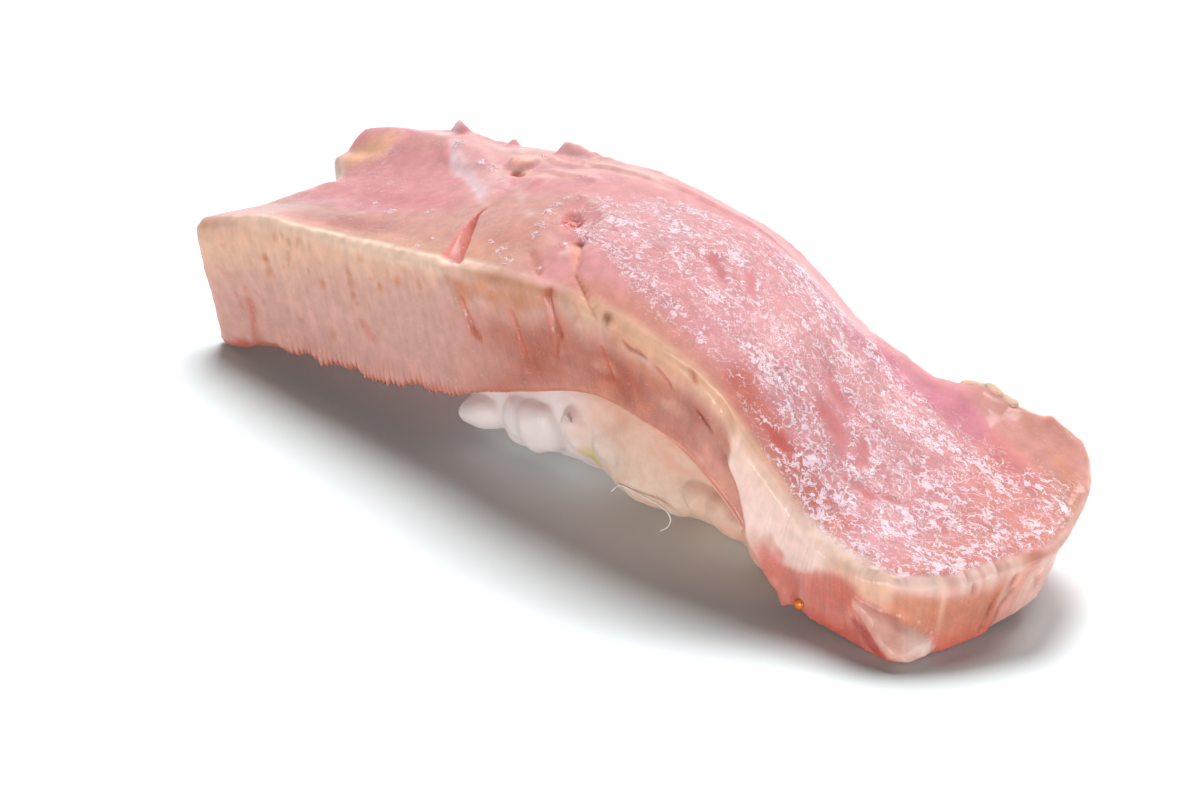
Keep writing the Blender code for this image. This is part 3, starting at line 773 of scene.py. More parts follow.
# A thin sheet whose torn edge runs from the far flake down to the slit
SHEET_EDGE = ((-34.4, 13.0), (-33.0, 11.4), (-29.9, 9.3), (-25.5, 6.8), (-18.8, 2.1))
past_sheet = 0.8 * (Y - straight_through(SHEET_EDGE, X) + 1.6 * wander)
sheet_span = ease(-35.5, -33.5, X) * fall(-22.5, -19.0, X)
sheet = ease(-0.2, 0.15, past_sheet) * fall(0.8, 4.5, past_sheet) * sheet_span
place[:, 2] += 0.4 * sheet * TOP_ONLY
bu, bv = oval(X, Y, *BUBBLE)
place[:, 2] += 0.45 * np.exp(-(bu * bu + bv * bv)) * ON_TOP
far_fibres = noise(bend, (7.0, 0.55, 1.0), 26) * ease(0.35, 0.8, T0) * TOP_ONLY
place[:, 2] += 0.035 * far_fibres * ease(-24, -18, X) * fall(20, 26, X)
print("thin flakes laid on the top:", len(FLAKE_SHEETS))

# %% [markdown]
# ## The long cut face
# The near face was cut across the muscle, so its fibres run up and down. Where they parted there
# are gashes, and along the lower left rim they tore into fine teeth. To the right a crease runs
# down the face: the flesh inside it lies deeper and is pinker than the pale roll outside. Colour
# alone could hint at all this, but the rim stands against the light, where only shape shows.

# %% Gashes, fibres and the inner crease
# Gashes: points along and up the face, half width at each, depth, how red
GASHES = (
    (((-13.1, 0.76), (-12.8, 0.62), (-12.4, 0.53), (-11.3, 0.45)), (0.22, 0.3, 0.42, 0.15), 0.8, 0.8),
    (((-7.4, 0.71), (-6.9, 0.57), (-6.5, 0.44), (-6.1, 0.30)), (0.35, 0.3, 0.3, 0.15), 0.6, 0.7),
    (((-3.4, 0.97), (-3.0, 0.81), (-2.4, 0.66), (-1.8, 0.60)), (0.4, 0.5, 0.75, 0.4), 0.85, 1.0),
    (((-2.4, 0.66), (-2.3, 0.5), (-2.5, 0.36)), (0.5, 0.4, 0.15), 0.7, 0.7),
    (((-0.5, 0.93), (-0.3, 0.86), (-0.7, 0.76)), (0.15, 0.25, 0.12), 0.35, 0.6),
    (((2.2, 0.61), (2.9, 0.48), (3.7, 0.33)), (0.12, 0.16, 0.2), 0.5, 1.0),
    (((7.3, 0.76), (8.0, 0.72), (9.2, 0.64)), (0.12, 0.16, 0.1), 0.4, 1.1),
    (((9.6, 0.99), (10.5, 0.89)), (0.12, 0.12), 0.3, 1.1),
    (((4.2, 0.81), (4.8, 0.775), (5.7, 0.80), (6.2, 0.785)), (0.12, 0.2, 0.16, 0.1), 0.1, 1.8),
    (((11.7, 0.62), (12.5, 0.59), (13.4, 0.56)), (0.12, 0.24, 0.12), 0.35, 1.7),
    (((-42.0, 0.36), (-41.8, 0.22), (-41.4, 0.06)), (0.35, 0.28, 0.5), 0.3, 0.45),
)
INNER_CREASE = ((14.6, 0.93), (14.9, 0.74), (15.8, 0.54), (17.4, 0.37), (19.2, 0.15), (20.0, 0.0))

HALO = 2.5  # the flesh is red this many times as far out as a gash reaches
red_cut = np.zeros_like(X)
face_cut = np.zeros_like(X)
ragged = UP + 0.25 * wander
for points, half_widths, deep, red in GASHES:
    line = face_line(points)
    inside = on_line(X + 0.3 * wander, ragged, line, half_widths, 0.15)
    face_cut = np.maximum(face_cut, deep * inside)
    wider = on_line(X + 0.7 * wander, ragged, line, [HALO * w for w in half_widths], 0.15)
    red_cut = np.maximum(red_cut, red * (0.3 * inside + 0.9 * wider))

crease_x = straight_through([(up, along) for along, up in face_line(INNER_CREASE)[::-1]], UP)
inner = fall(-0.5, 0.7, X - crease_x + 0.8 * wander) * ease(4.0, 14.0, X)
lie = flat(X + 0.22 * UP, UP)
sway = lie + 0.5 * noise(lie, (3.0, 3.0, 1.0), 30)[:, None]
fibre = noise(sway, (0.6, 5.0, 1.0), 31) + 0.6 * noise(sway, (1.6, 6.0, 1.0), 32)
swell = noise(lie, (4.5, 5.0, 1.0), 33)
push = 0.4 * face_cut + 0.7 * inner + 0.015 * fibre + 0.16 * swell
push -= 0.35 * ON_TOP * np.exp(-(((X + 9.0) / 5.5) ** 2))
place[:, 1] += push * ON_NEAR * (1 - ON_RIGHT_END)
RIM_LIFT = 0.1
on_rim = np.exp(-((((T0 + 1) * HALF_ACROSS - 0.6) / 0.36) ** 2)) * ease(0.93, 1.0, H0) * (1 - ON_RIGHT_END)
rim_line = flat(X, 0 * X)
rim_wave = noise(rim_line, (1.3, 1, 1), 34) + 0.7 * noise(rim_line, (4.0, 1, 1), 35)
on_rim *= 0.25 + 0.75 * ease(-45.0, -38.0, X) * fall(-14.0, -8.0, X)
place[:, 2] += RIM_LIFT * on_rim * (1 + 0.5 * rim_wave)
place[:, 1] += 0.12 * rim_wave * ease(0.75, 1.0, H0) * fall(-1.0, -0.85, T0) * (1 - ON_RIGHT_END)
print("gashes in the cut face:", len(GASHES))

# %% Torn teeth, the hanging tag and the folded wedge
TEETH_PITCH = 0.62
TEETH_DEEP = 1.25
# How far the torn rim stands above its smooth line: place along, height
RIM_TORN = (
    (-47.0, -0.2), (-45.4, -0.7), (-43.4, -0.6), (-42.6, -0.15), (-41.0, 0.4), (-40.2, 0.45), (-39.0, 0.05),
    (-37.4, 0.8), (-34.8, 1.1), (-34.4, 1.05), (-34.0, 0.45), (-32.6, 0.35), (-31.2, 1.15), (-30.6, 0.9),
    (-28.7, 0.95), (-28.2, 0.4), (-26.4, 0.1), (-25.2, -0.1), (-24.2, 0.3), (-22.8, 0.1), (-22.2, 0.7),
    (-20.2, 1.0), (-19.2, 0.5), (-18.3, 0.1), (-15.0, 0.0),
)
TAG_X = 24.3
# The folded wedge and the shade below it: points along, across and up
WEDGE = ((32.6, -7.8, 4.8), (34.9, -7.7, 3.7), (37.1, -6.9, 2.5), (38.4, -5.9, 1.5))
WEDGE_RADII = (0.6, 1.3, 1.9, 1.8)
BELOW_WEDGE = ((32.6, -7.9, 3.2), (34.4, -7.9, 2.1), (36.0, -7.6, 0.9))
CORNER_PULL = 1.5

phase = X / TEETH_PITCH + 0.7 * noise(rim_line, (1.4, 1, 1), 41)
tooth = np.abs(np.sin(math.pi * phase)) ** 0.7
strength = 0.75 + 0.3 * noise(rim_line, (2.2, 1, 1), 42)
strength *= ease(-41.0, -36.0, X) * (1 - 0.75 * ease(-17.0, -12.0, X)) * fall(-10.0, -7.0, X)
near_rim = fall(0.0, 1.8, UP) * fall(-1.0, -0.92, T0)
place[:, 2] -= TEETH_DEEP * tooth * strength * near_rim
place[:, 2] += straight_through(RIM_TORN, X) * near_rim
ribs = (1 - tooth) * strength * fall(0.5, 3.5, UP) * ON_NEAR
place[:, 1] += 0.14 * ribs
tag = np.exp(-(((X - TAG_X) / 0.55) ** 2)) * near_rim
place[:, 2] -= 0.9 * tag
place[:, 1] -= 0.3 * tag

from_corner = (STATION_X[-1] - X) + (T0 + 1) * HALF_ACROSS
corner_in = fall(0.0, 6.0, from_corner) * ease(10.0, 20.0, X) * ease(0.05, 0.6, h)
place[:, 0] -= CORNER_PULL * 0.8 * corner_in
place[:, 1] += CORNER_PULL * 0.6 * corner_in
wedge = on_line3(WEDGE, WEDGE_RADII, 0.5)
below_wedge = on_line3(BELOW_WEDGE, (0.5, 0.7, 0.8), 0.4)
place[:, 0] += 0.2 * wedge
place[:, 1] -= 0.2 * wedge
print("teeth along the torn rim:", round((41 - 10) / TEETH_PITCH))

# %% The right end
# Creases down the end: place across and up at each point, half widths, depth
END_CREASES = (
    (((-0.56, 1.0), (-0.52, 0.8), (-0.50, 0.6)), (0.2, 0.28, 0.1), 0.35),
    (((-0.34, 1.0), (-0.33, 0.8), (-0.34, 0.5), (-0.38, 0.2)), (0.3, 0.3, 0.25, 0.2), 0.45),
    (((-0.24, 0.8), (-0.2, 0.5), (-0.26, 0.15)), (0.2, 0.3, 0.2), 0.4),
    (((-0.08, 0.8), (0.05, 0.4)), (0.2, 0.3), 0.3),
)
END_HEIGHT = 8.0
end_u = T0 * HALF_ACROSS
end_v = h * END_HEIGHT
end_cut = np.zeros_like(X)
for points, half_widths, deep in END_CREASES:
    line = [(HALF_ACROSS * a, END_HEIGHT * b) for a, b in points]
    end_cut = np.maximum(end_cut, deep * on_line(end_u + 0.4 * wander, end_v, line, half_widths, 0.1))
undercut = ease(-0.34, -0.22, T0) * fall(0.72, 0.95, h)
end_lie = flat(end_u, end_v)
end_fibre = noise(end_lie, (0.5, 4.0, 1.0), 51)
end_swell = noise(end_lie, (3.0, 3.0, 1.0), 52)
place[:, 0] -= ON_RIGHT_END * (end_cut + 0.5 * undercut + 0.06 * end_fibre + 0.2 * end_swell)
ragged_edge = noise(place, 1.1, 53) * ON_RIGHT_END * ease(0.75, 1.0, h)
place[:, 0] += 0.18 * ragged_edge
place[:, 2] += 0.12 * ragged_edge
print("creases in the right end:", len(END_CREASES))

# %% The sides that the photograph hides
# They were cut like the near face, so they get the same fibres, swells and a few gashes.
# Gashes: both ends, along and up in the drawing, half width, depth
BACK_GASHES = (
    ((-33.0, 13.5), (-32.4, 9.0), 0.3, 0.45), ((-21.5, 17.6), (-20.6, 12.8), 0.28, 0.5),
    ((-9.0, 20.0), (-8.2, 15.6), 0.35, 0.6), ((4.5, 18.0), (5.6, 14.2), 0.3, 0.5),
    ((15.0, 11.5), (16.2, 8.4), 0.25, 0.4), ((27.0, 9.8), (27.6, 6.6), 0.25, 0.35),
)
from_back = flat(X - 0.2 * UP, UP)
from_left = flat(HALF_ACROSS * T0 + 50.0, UP)
cut_lie = np.where((ON_LEFT_END > ON_FAR)[:, None], from_left, from_back)
cut_sway = cut_lie + 0.5 * noise(cut_lie, (3.0, 3.0, 1.0), 36)[:, None]
back_fibre = noise(cut_sway, (0.6, 5.0, 1.0), 37) + 0.6 * noise(cut_sway, (1.6, 6.0, 1.0), 38)
back_swell = 0.5 + noise(cut_lie, (4.5, 4.0, 1.0), 39)
back_cut = np.zeros_like(X)
for start, end, half_width, deep in BACK_GASHES:
    at = (X + 0.5 * wander, place[:, 2] + 0.3 * wander)
    inside = on_line(*at, (start, end), (half_width, half_width), 0.15)
    back_cut = np.maximum(back_cut, deep * inside * ON_FAR)
inward = 0.03 * back_fibre + 0.22 * back_swell + back_cut
inward *= ease(0.0, 0.25, H0) * fall(0.8, 1.0, H0)
place[:, 1] -= ON_FAR * inward
place[:, 0] += ON_LEFT_END * inward
print("gashes in the far side:", len(BACK_GASHES))

# %% Fine unevenness all over
def outward(points, faces):
    """Unit normals at the points of a closed mesh of quads."""
    across = points[faces[:, 2]] - points[faces[:, 0]]
    other = points[faces[:, 3]] - points[faces[:, 1]]
    facing = np.cross(across, other)
    total = np.zeros_like(points)
    for k in range(4):
        np.add.at(total, faces[:, k], facing)
    return total / np.maximum(np.linalg.norm(total, axis=1, keepdims=True), 1e-12)


grain_noise = noise(place, 0.7, 61) + 0.5 * noise(place, 2.0, 62)
place += outward(place, quads) * (0.012 * grain_noise * (1 - ON_UNDERSIDE))[:, None]
far_rags = noise(place, 1.3, 63) * ON_FAR * ease(0.6, 1.0, h)
left_rags = noise(place, 0.5, 64) + noise(place, 1.4, 65)
place[:, 0] -= 0.18 * left_rags * ON_LEFT_END * fall(-1.0, -0.8, T0)
torn = noise(place, 0.55, 69) + 0.7 * noise(place, 1.2, 70)
place[:, 2] += 0.13 * torn * ease(0.82, 1.0, T0) * ease(0.7, 1.0, H0)
low = fall(0.0, 0.3, H0)
low_right = low * fall(-1.0, -0.9, T0) * ease(19.0, 23.0, X)
place[:, 0] += 0.16 * torn * np.maximum(low_right, ON_RIGHT_END * low)
place[:, 1] -= 0.16 * torn * low_right
place[:, 1] -= 0.15 * far_rags
ROOM = 0.01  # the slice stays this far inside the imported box
box_low = np.array(fish_low) / MM - SLAB_AT + ROOM
box_high = np.array(fish_high) / MM - SLAB_AT - ROOM
outside = ((place < box_low) | (place > box_high)).any(axis=1)
print("moved to stay in the packed box:", int(outside.sum()), "points")
place = np.clip(place, box_low, box_high)
print("lowest point of the slice, mm:", round(float(place[:, 2].min()), 2))

# %% [markdown]
# ## Colour of the flesh
# Albacore isn't one pink. The cut face is cream at its top edge and pinker below, the top is
# rosy with a peach border, the hollows are red, the far flank is lilac and the thin flange tan.
# Each of these is a named tone laid over the last one with a soft edge, as a painter would, and
# the result is kept as a colour at every point. The finest variation is left to the material. A
# painted picture wrapped around the slice is the other way, but it stretches over the ends.

# %% Tones
ROSE = tone(230, 162, 164)
DEEP_ROSE = tone(224, 146, 148)
PEACH = tone(212, 136, 118)
PALE_PEACH = tone(220, 166, 152)
CREAM = tone(236, 184, 154)
PALE_CREAM = tone(242, 218, 202)
FACE_PINK = tone(212, 158, 144)
FACE_LOW = tone(210, 152, 140)
FACE_RED = tone(176, 86, 60)
OLIVE = tone(194, 118, 70)
LILAC = tone(226, 162, 174)
MEMBRANE = tone(234, 178, 190)
GASH_RED = tone(200, 96, 66)
RED_FLESH = tone(200, 72, 58)
HOLLOW_RED = tone(212, 94, 96)
TAN = tone(212, 150, 136)
YELLOW = tone(256, 200, 164)
STAIN = tone(196, 114, 58)
ORANGE = tone(214, 142, 112)
BROWN = tone(120, 70, 50)

colour = np.tile(ROSE, (len(X), 1))


def lay(over, amount):
    """Lays a tone over the colour so far, by an amount at each point."""
    global colour
    share = np.clip(amount, 0, 1)[:, None]
    colour = colour * (1 - share) + np.array(over) * share


patchy = noise(place, 2.6, 71) + 0.5 * noise(place, 1.1, 72)
fine = noise(place, 0.7, 73)
print("first tone at every point:", [round(float(c), 2) for c in colour[0]])

# %% Tones of the top
before_crown = fall(-9.0, -4.0, X)
near_strip = fall(-1.5, 1.5, Y - 0.6)


def spot(points, half_width, soft=0.1):
    """A soft patch along a bent line on the top."""
    return on_line(X + 1.2 * wander, Y + 1.2 * wander, points, (half_width,) * len(points), soft)


lay(PALE_PEACH, before_crown * near_strip * (0.7 + 0.3 * patchy))
lay(PALE_PEACH, 0.7 * before_crown * ease(-26.0, -20.0, X) * fall(3.0, 6.0, Y))
lay(
    tone(240, 196, 188),
    0.75 * before_crown * ease(-31.0, -26.0, X) * ease(10.0, 12.0, Y) * (0.8 + 0.2 * patchy),
)
# Patches on the left half: tone, amount, points along and across, half width
LEFT_PATCHES = (
    (tone(216, 120, 112), 0.6, ((-24.5, 13.2), (-21.0, 13.3), (-18.0, 13.6)), 0.5),
    (LILAC, 0.5, ((-22.0, 11.0), (-17.0, 10.6), (-12.0, 9.0)), 0.9),
    (DEEP_ROSE, 0.6, ((-36.0, 3.0), (-30.0, 2.8), (-24.0, 2.6)), 2.6),
    (LILAC, 0.5, ((-42.0, 0.2), (-36.0, 0.4), (-31.0, 0.6)), 1.8),
    (PALE_PEACH, 0.8, ((-37.0, 12.0), (-31.0, 13.0)), 2.2),
    (tone(200, 164, 160), 0.5, ((-43.5, -1.5), (-38.0, -2.0), (-34.0, -2.2)), 2.4),
    (tone(198, 134, 124), 0.8, ((-33.0, -3.4), (-27.0, -3.6)), 2.6),
    (YELLOW, 0.9, ((-44.5, 9.0), (-41.4, 10.6)), 2.4),
    (PALE_CREAM, 0.7, ((-46.0, 7.0), (-45.6, 9.5)), 1.0),
)
for over, amount, points, half_width in LEFT_PATCHES:
    lay(over, amount * spot(points, half_width))
lay(tone(242, 208, 210), 0.6 * spot(SHEET_EDGE, 0.9) * (0.8 + 0.4 * fine))
# The slope of the sheet's torn edge lies in shade and is painted lighter: painted light
lit_sheet_slope = np.exp(-(((past_sheet + 0.1) / 0.4) ** 2)) * sheet_span
lay(tone(262, 234, 238), 0.8 * lit_sheet_slope * TOP_ONLY)
lay(tone(250, 210, 208), 0.35 * sheet * TOP_ONLY)
PALE_VEIN = ((-25.0, 8.6), (-22.9, 7.7), (-17.2, 5.2), (-11.3, 0.5))
lay(tone(240, 204, 200), 0.5 * spot(PALE_VEIN, 0.6) * (0.8 + 0.4 * fine))
# Patches over the sheet, told in the same way
OVER_SHEET = (
    (tone(246, 198, 184), 0.5, ((-24.0, 9.4), (-18.5, 9.0), (-14.0, 9.2)), 2.0),
    (tone(248, 228, 234), 0.85, ((-36.6, 13.6), (-36.2, 16.5)), 1.1),
    (YELLOW, 0.7, ((-24.0, 12.0), (-22.4, 11.0)), 1.5),
    (PALE_CREAM, 0.5, ((-28.5, 13.5), (-25.0, 14.5)), 1.2),
)
for over, amount, points, half_width in OVER_SHEET:
    lay(over, amount * spot(points, half_width))
lay(PEACH, 0.35 * before_crown * spot(((-12.5, -4.0), (-9.5, -2.0)), 3.0))
lay(CREAM, 0.45 * before_crown * spot(((-38.0, -6.0), (-20.0, -5.4), (-9.0, -5.0)), 1.6))
print("patches on the left half:", len(LEFT_PATCHES) + len(OVER_SHEET))

# %% Tones of the bands and the cuts in the top
# Where bands of colour run: points along and across
STRIP = ((-3.0, -5.6), (3.0, -4.8), (11.0, -5.4), (20.0, -5.6), (27.0, -5.6), (38.0, -6.5))
FLANK = ((5.0, 10.8), (13.0, 11.0), (17.0, 12.4), (22.0, 13.2), (28.0, 12.8), (33.0, 11.0))
FLANGE = ((16.0, 17.5), (20.6, 16.0), (24.0, 14.8), (28.8, 14.4), (33.5, 13.0), (37.0, 9.5))
strip = straight_through(STRIP, X)
before_strip = fall(-0.2, 1.6, Y - strip + 1.2 * wander)
lay(tone(224, 156, 142), before_strip * ease(-5.0, 0.0, X) * (1 - 0.6 * ease(27, 34, X)))
lay(tone(208, 108, 84), 0.75 * spot(((13.0, -4.0), (19.0, -4.6), (25.0, -4.4)), 2.4))
# A pale band along the near edge of the top at the right: partly cream, partly painted light on an edge that
# lies in shade
lay(tone(255, 220, 208), 0.95 * ease(19.0, 25.0, X) * fall(-1.0, 0.6, Y - strip + 0.6 * wander))
lay(MEMBRANE, 0.3 * WET * (0.7 + 0.5 * patchy))
lay(HOLLOW_RED, 0.58 * hollow * TOP_ONLY * (0.8 + 0.5 * patchy))
lay(tone(216, 130, 152), 0.65 * on_line(X, Y, FLANK, (0.8, 2.0, 2.4, 2.4, 1.8, 1.0), 0.3))
lay(tone(226, 142, 122), 0.55 * ease(30.0, 35.0, X + 0.4 * Y) * TOP_ONLY)
lay(TAN, ease(-0.6, 0.9, Y - straight_through(FLANGE, X) + wander) * ease(17.0, 21.0, X))
lay(ORANGE, 0.7 * spot(((34.0, 16.0), (37.0, 12.5), (38.0, 9.5)), 2.2))
lay(ROSE, 0.35 * ease(0.3, 0.7, T0) * ease(-0.2, 0.6, far_fibres))
# Pale on one side of the crater rim and along the slit's lip: partly pale membrane, partly painted highlight
lay(PALE_CREAM, 0.55 * crater_rim * ease(-0.3, 0.6, ruffle) * (crater_v > -0.4))
lay(PALE_CREAM, 0.6 * slit_lip)
lay(tone(234, 154, 144), slit_in * ON_TOP)
# Darker towards the slit's steep wall, where it is deepest: painted shade
lay(tone(210, 116, 102), slit_in * fall(0.1, 0.6, slit_w) * ON_TOP)
lay(DEEP_ROSE, 0.4 * crater_in)
lay(tone(224, 122, 116), pit_in * ON_TOP)
PIT_FLOOR = ((-7.9, 1.0), (-6.9, 1.6), (-6.4, 2.2))
lay(tone(200, 60, 48), pit_in * on_line(X, Y, PIT_FLOOR, (0.25, 0.35, 0.2), 0.1))
lay(tone(240, 176, 160), pocket_in * ON_TOP)
# Darker red towards the pocket's steep wall, where it is deepest: painted shade
lay(GASH_RED, 0.5 * pocket_in * fall(0.0, 0.35, pocket_w) * ON_TOP)
# Dark red in the tunnel under the flake: painted shadow
lay(tone(214, 110, 104), tunnel_in * ON_TOP)
lay(STAIN, 0.5 * crease_in * ON_TOP)
lay(PEACH, 0.6 * side_in * ON_TOP)
print("mean colour with the tones of the top:", [round(float(c), 2) for c in colour.mean(axis=0)])

# %% Tones of the cut face
rows = flat(X, UP)
top_tone = colour.copy()
colour = np.tile(FACE_PINK, (len(X), 1))
streak = noise(sway, (1.6, 7.0, 1.0), 74)
cloud = noise(rows, (5.0, 3.0, 1.0), 75)
lay(FACE_LOW, (0.75 + 0.3 * cloud) * fall(0.1, 0.55, h + 0.06 * streak))
redder = ease(-20.0, -4.0, X) * fall(9.0, 16.0, X) * fall(0.5, 0.85, h + 0.06 * streak)
lay(FACE_RED, (0.82 + 0.3 * cloud) * redder)
# How far up the face the cream begins and the red field ends: place along, share of the height
CREAM_FROM = (
    (-46.0, 0.42), (-38.0, 0.5), (-28.0, 0.62), (-18.0, 0.72),
    (-10.0, 0.78), (5.0, 0.7), (14.0, 0.5), (37.0, 0.45),
)
RED_UP_TO = ((20.0, 0.36), (24.0, 0.5), (27.0, 0.66), (30.0, 0.78), (33.0, 0.7), (36.0, 0.6))
cream_reach = straight_through(CREAM_FROM, X)
lay(tone(226, 184, 172), 0.6 * fall(-48.5, -44.5, X))
lay(CREAM, (0.8 + 0.15 * cloud) * ease(cream_reach, cream_reach + 0.35, h + 0.05 * streak))
shoulder = face_line(((-14.5, 0.88), (-9.0, 0.84), (-4.6, 0.84)))
lay(OLIVE, 0.6 * on_line(X + 2.0 * wander, UP + 2.0 * wander, shoulder, (1.3, 2.2, 1.5), 0.0))
past_crown = face_line(((3.0, 0.9), (7.0, 0.86), (10.0, 0.84)))
lay(OLIVE, 0.5 * on_line(X, UP, past_crown, (0.8, 1.2, 1.0), 0.1))
lay(FACE_LOW, 0.65 * inner * fall(0.75, 0.95, h))
blotch = noise(rows, (2.4, 1.6, 1.0), 77) + 0.6 * noise(rows, (0.9, 0.8, 1.0), 78)
over_rice = ease(-6.0, 2.0, X) * fall(16.0, 18.0, X) * fall(0.55, 0.8, h)
lay(tone(172, 84, 68), 0.85 * inner * ease(7.0, 12.0, X) * fall(0.6, 0.9, h))
lay(tone(220, 160, 140), 0.5 * over_rice * ease(0.1, 0.9, blotch))
lay(tone(206, 118, 84), 0.6 * over_rice * ease(0.2, 0.9, -blotch))
lay(tone(208, 140, 116), 0.6 * over_rice * fall(0.0, 0.22, h + 0.06 * blotch))
lay(tone(244, 178, 160), 0.5 * inner * ease(10.0, 15.0, X) * fall(0.25, 0.6, h + 0.08 * blotch))
outer_roll = ease(-0.3, 0.9, X - crease_x + 0.8 * wander) * ease(11.0, 15.0, X)
lay(tone(250, 214, 204), 0.95 * outer_roll * fall(26.0, 31.0, X))
red_reach = straight_through(RED_UP_TO, X)
red_field = fall(red_reach - 0.1, red_reach + 0.06, h + 0.12 * wander + 0.04 * fine)
red_field *= ease(19.0, 22.5, X + 0.8 * wander)
lay(tone(214, 116, 98), red_field * (0.8 + 0.12 * cloud + 0.1 * fine))
print("share of the points in the red field:", round(float((red_field * ON_NEAR > 0.5).mean()), 3))

# %% Patches, stains and gashes of the cut face
# Patches of redder flesh: points along and up, half widths, amount
RED_PATCHES = (
    (((21.4, 0.46), (22.4, 0.32), (23.8, 0.28), (25.0, 0.2)), (0.8, 1.5, 1.4, 1.0), 0.45),
    (((27.6, 0.42), (28.8, 0.50), (30.2, 0.56)), (2.4, 2.9, 2.4), 0.4),
    (((25.0, 0.10), (29.0, 0.14), (33.0, 0.16)), (1.0, 1.4, 1.4), 0.6),
    (((33.6, 0.3), (35.4, 0.16)), (0.9, 0.8), 1.0),
    (((-26.8, 0.44), (-25.8, 0.36)), (0.9, 0.6), 0.4),
    (((-46.0, 0.02), (-43.0, 0.03), (-41.4, 0.03)), (0.6, 0.9, 0.4), 1.0),
    (((-42.2, 0.36), (-41.9, 0.24), (-41.7, 0.08)), (0.25, 0.3, 0.35), 0.55),
    (((-43.2, 0.42), (-42.9, 0.3)), (0.2, 0.2), 0.45),
    (((-41.2, 0.46), (-40.6, 0.3)), (0.2, 0.2), 0.3),
    (((-20.5, 0.06), (-16.0, 0.04)), (0.5, 0.4), 0.4),
)
uneven = (X + 1.8 * wander + 0.22 * fine, UP + 1.6 * wander + 0.3 * streak)
for points, half_widths, amount in RED_PATCHES:
    soft = on_line(*uneven, face_line(points), half_widths, 0.35)
    lay(RED_FLESH, amount * soft * (0.85 + 0.25 * patchy))
# Orange-brown stains: place along, place up, half width, amount
STAINS = (
    (-43.7, 0.86, 0.25, 0.6), (-43.6, 0.78, 0.25, 0.5), (-39.2, 0.70, 0.35, 0.8), (-39.0, 0.60, 0.4, 0.7),
    (-38.4, 0.56, 0.3, 0.5), (-37.2, 0.66, 0.25, 0.5), (-34.2, 0.70, 0.25, 0.6), (-34.6, 0.56, 0.4, 0.7),
    (-32.4, 0.63, 0.3, 0.7), (-28.8, 0.76, 0.4, 0.7), (-28.6, 0.68, 0.4, 0.9), (-28.3, 0.60, 0.35, 0.9),
    (-27.9, 0.54, 0.3, 0.7), (-24.4, 0.72, 0.3, 0.6), (-21.9, 0.79, 0.4, 0.5), (-18.8, 0.80, 0.3, 0.5),
    (-37.0, 0.90, 0.3, 0.6), (-36.2, 0.44, 0.3, 0.4), (-35.8, 0.30, 0.3, 0.4), (-31.6, 0.26, 0.3, 0.5),
    (-13.0, 0.80, 0.9, 0.7), (-9.3, 0.82, 0.4, 0.6), (-6.6, 0.80, 0.6, 0.5), (2.4, 0.97, 0.6, 0.9),
    (6.3, 0.66, 0.3, 0.6), (3.6, 0.80, 0.7, 0.5), (-42.3, 0.44, 0.3, 0.5), (-41.6, 0.30, 0.35, 0.6),
)
for place_along, place_up, half_width, amount in STAINS:
    here = face_point(place_along, place_up)
    gap = np.hypot((X - here[0]) / half_width, (UP - here[1]) / (1.1 * half_width))
    lay(STAIN, 1.35 * amount * fall(0.1, 1.8, gap + 1.6 * wander + 0.7 * fine) * (0.8 + 0.5 * fine))
# The top of the cut face right of the crown: pale cream, painted lighter still where this edge lies in
# shade, so partly its own tone, partly painted light
lay(tone(255, 222, 206), 0.8 * ease(0.8, 0.94, h + 0.02 * patchy) * ease(18.0, 24.0, X))
lay(
    tone(250, 208, 178),
    0.35 * ease(0.86, 0.97, h + 0.03 * patchy) * ease(-4.0, 2.0, X) * fall(16.0, 20.0, X),
)
# The top of the cut face on the left is pale, painted lighter where the edge lies in shade: partly its own
# tone, partly painted light
lay(
    tone(255, 228, 206),
    0.6 * ease(0.88, 0.98, h + 0.01 * fine) * ease(-46.0, -40.0, X) * fall(-16.0, -10.0, X),
)
speckle = noise(place, (0.55, 0.55, 0.8), 76) + 0.5 * patchy
stained_band = fall(-22.0, -14.0, X) * ease(0.45, 0.62, h) * fall(0.88, 0.97, h)
lay(STAIN, 0.4 * stained_band * ease(0.5, 1.0, speckle))
lay(tone(252, 226, 212), 0.6 * fall(-49.0, -45.5, X) * ease(0.4, 0.8, h))
lay(RED_FLESH, 0.3 * np.clip(ribs, 0, 1))
lay(GASH_RED, 0.8 * np.clip(red_cut, 0, 1) * (0.85 + 0.3 * fine))
# The darkest red in the gashes whose red is over 1, and painted shade deep inside the deepest gashes
lay(tone(130, 50, 38), np.clip(red_cut - 1, 0, 1) + 0.15 * ease(0.7, 1.1, face_cut))
near_tone = colour * (1 + 0.045 * np.clip(fibre + 0.4 * fine, -1.2, 1.2)[:, None])
print("red patches:", len(RED_PATCHES), "and stains:", len(STAINS))

# %% Tones of the right end, the far side and the underside
colour = np.tile(tone(204, 126, 98), (len(X), 1))
lay(tone(226, 110, 96), 0.9 * fall(0.0, 0.45, h + 0.08 * patchy))
lay(tone(250, 214, 204), 0.95 * ease(0.62, 0.9, h + 0.06 * patchy) * fall(-0.3, -0.1, T0))
END_STAIN = ((-11.6, 6.0), (-9.5, 4.8), (-7.5, 5.2))
lay(ORANGE, 0.5 * on_line(end_u, end_v, END_STAIN, (1.0, 1.4, 0.8), 0.2))
lay(tone(222, 160, 148), 0.6 * undercut)
lay(tone(248, 202, 192), 0.7 * ease(-0.3, 0.0, T0))
lay(tone(244, 206, 184), 0.45 * ease(0.15, 0.8, end_fibre) * ease(0.2, 0.6, h))
lay(tone(196, 104, 80), 0.4 * ease(0.15, 0.8, -end_fibre))
lay(GASH_RED, 0.6 * ease(0.1, 0.5, end_cut))
end_tone = colour.copy()

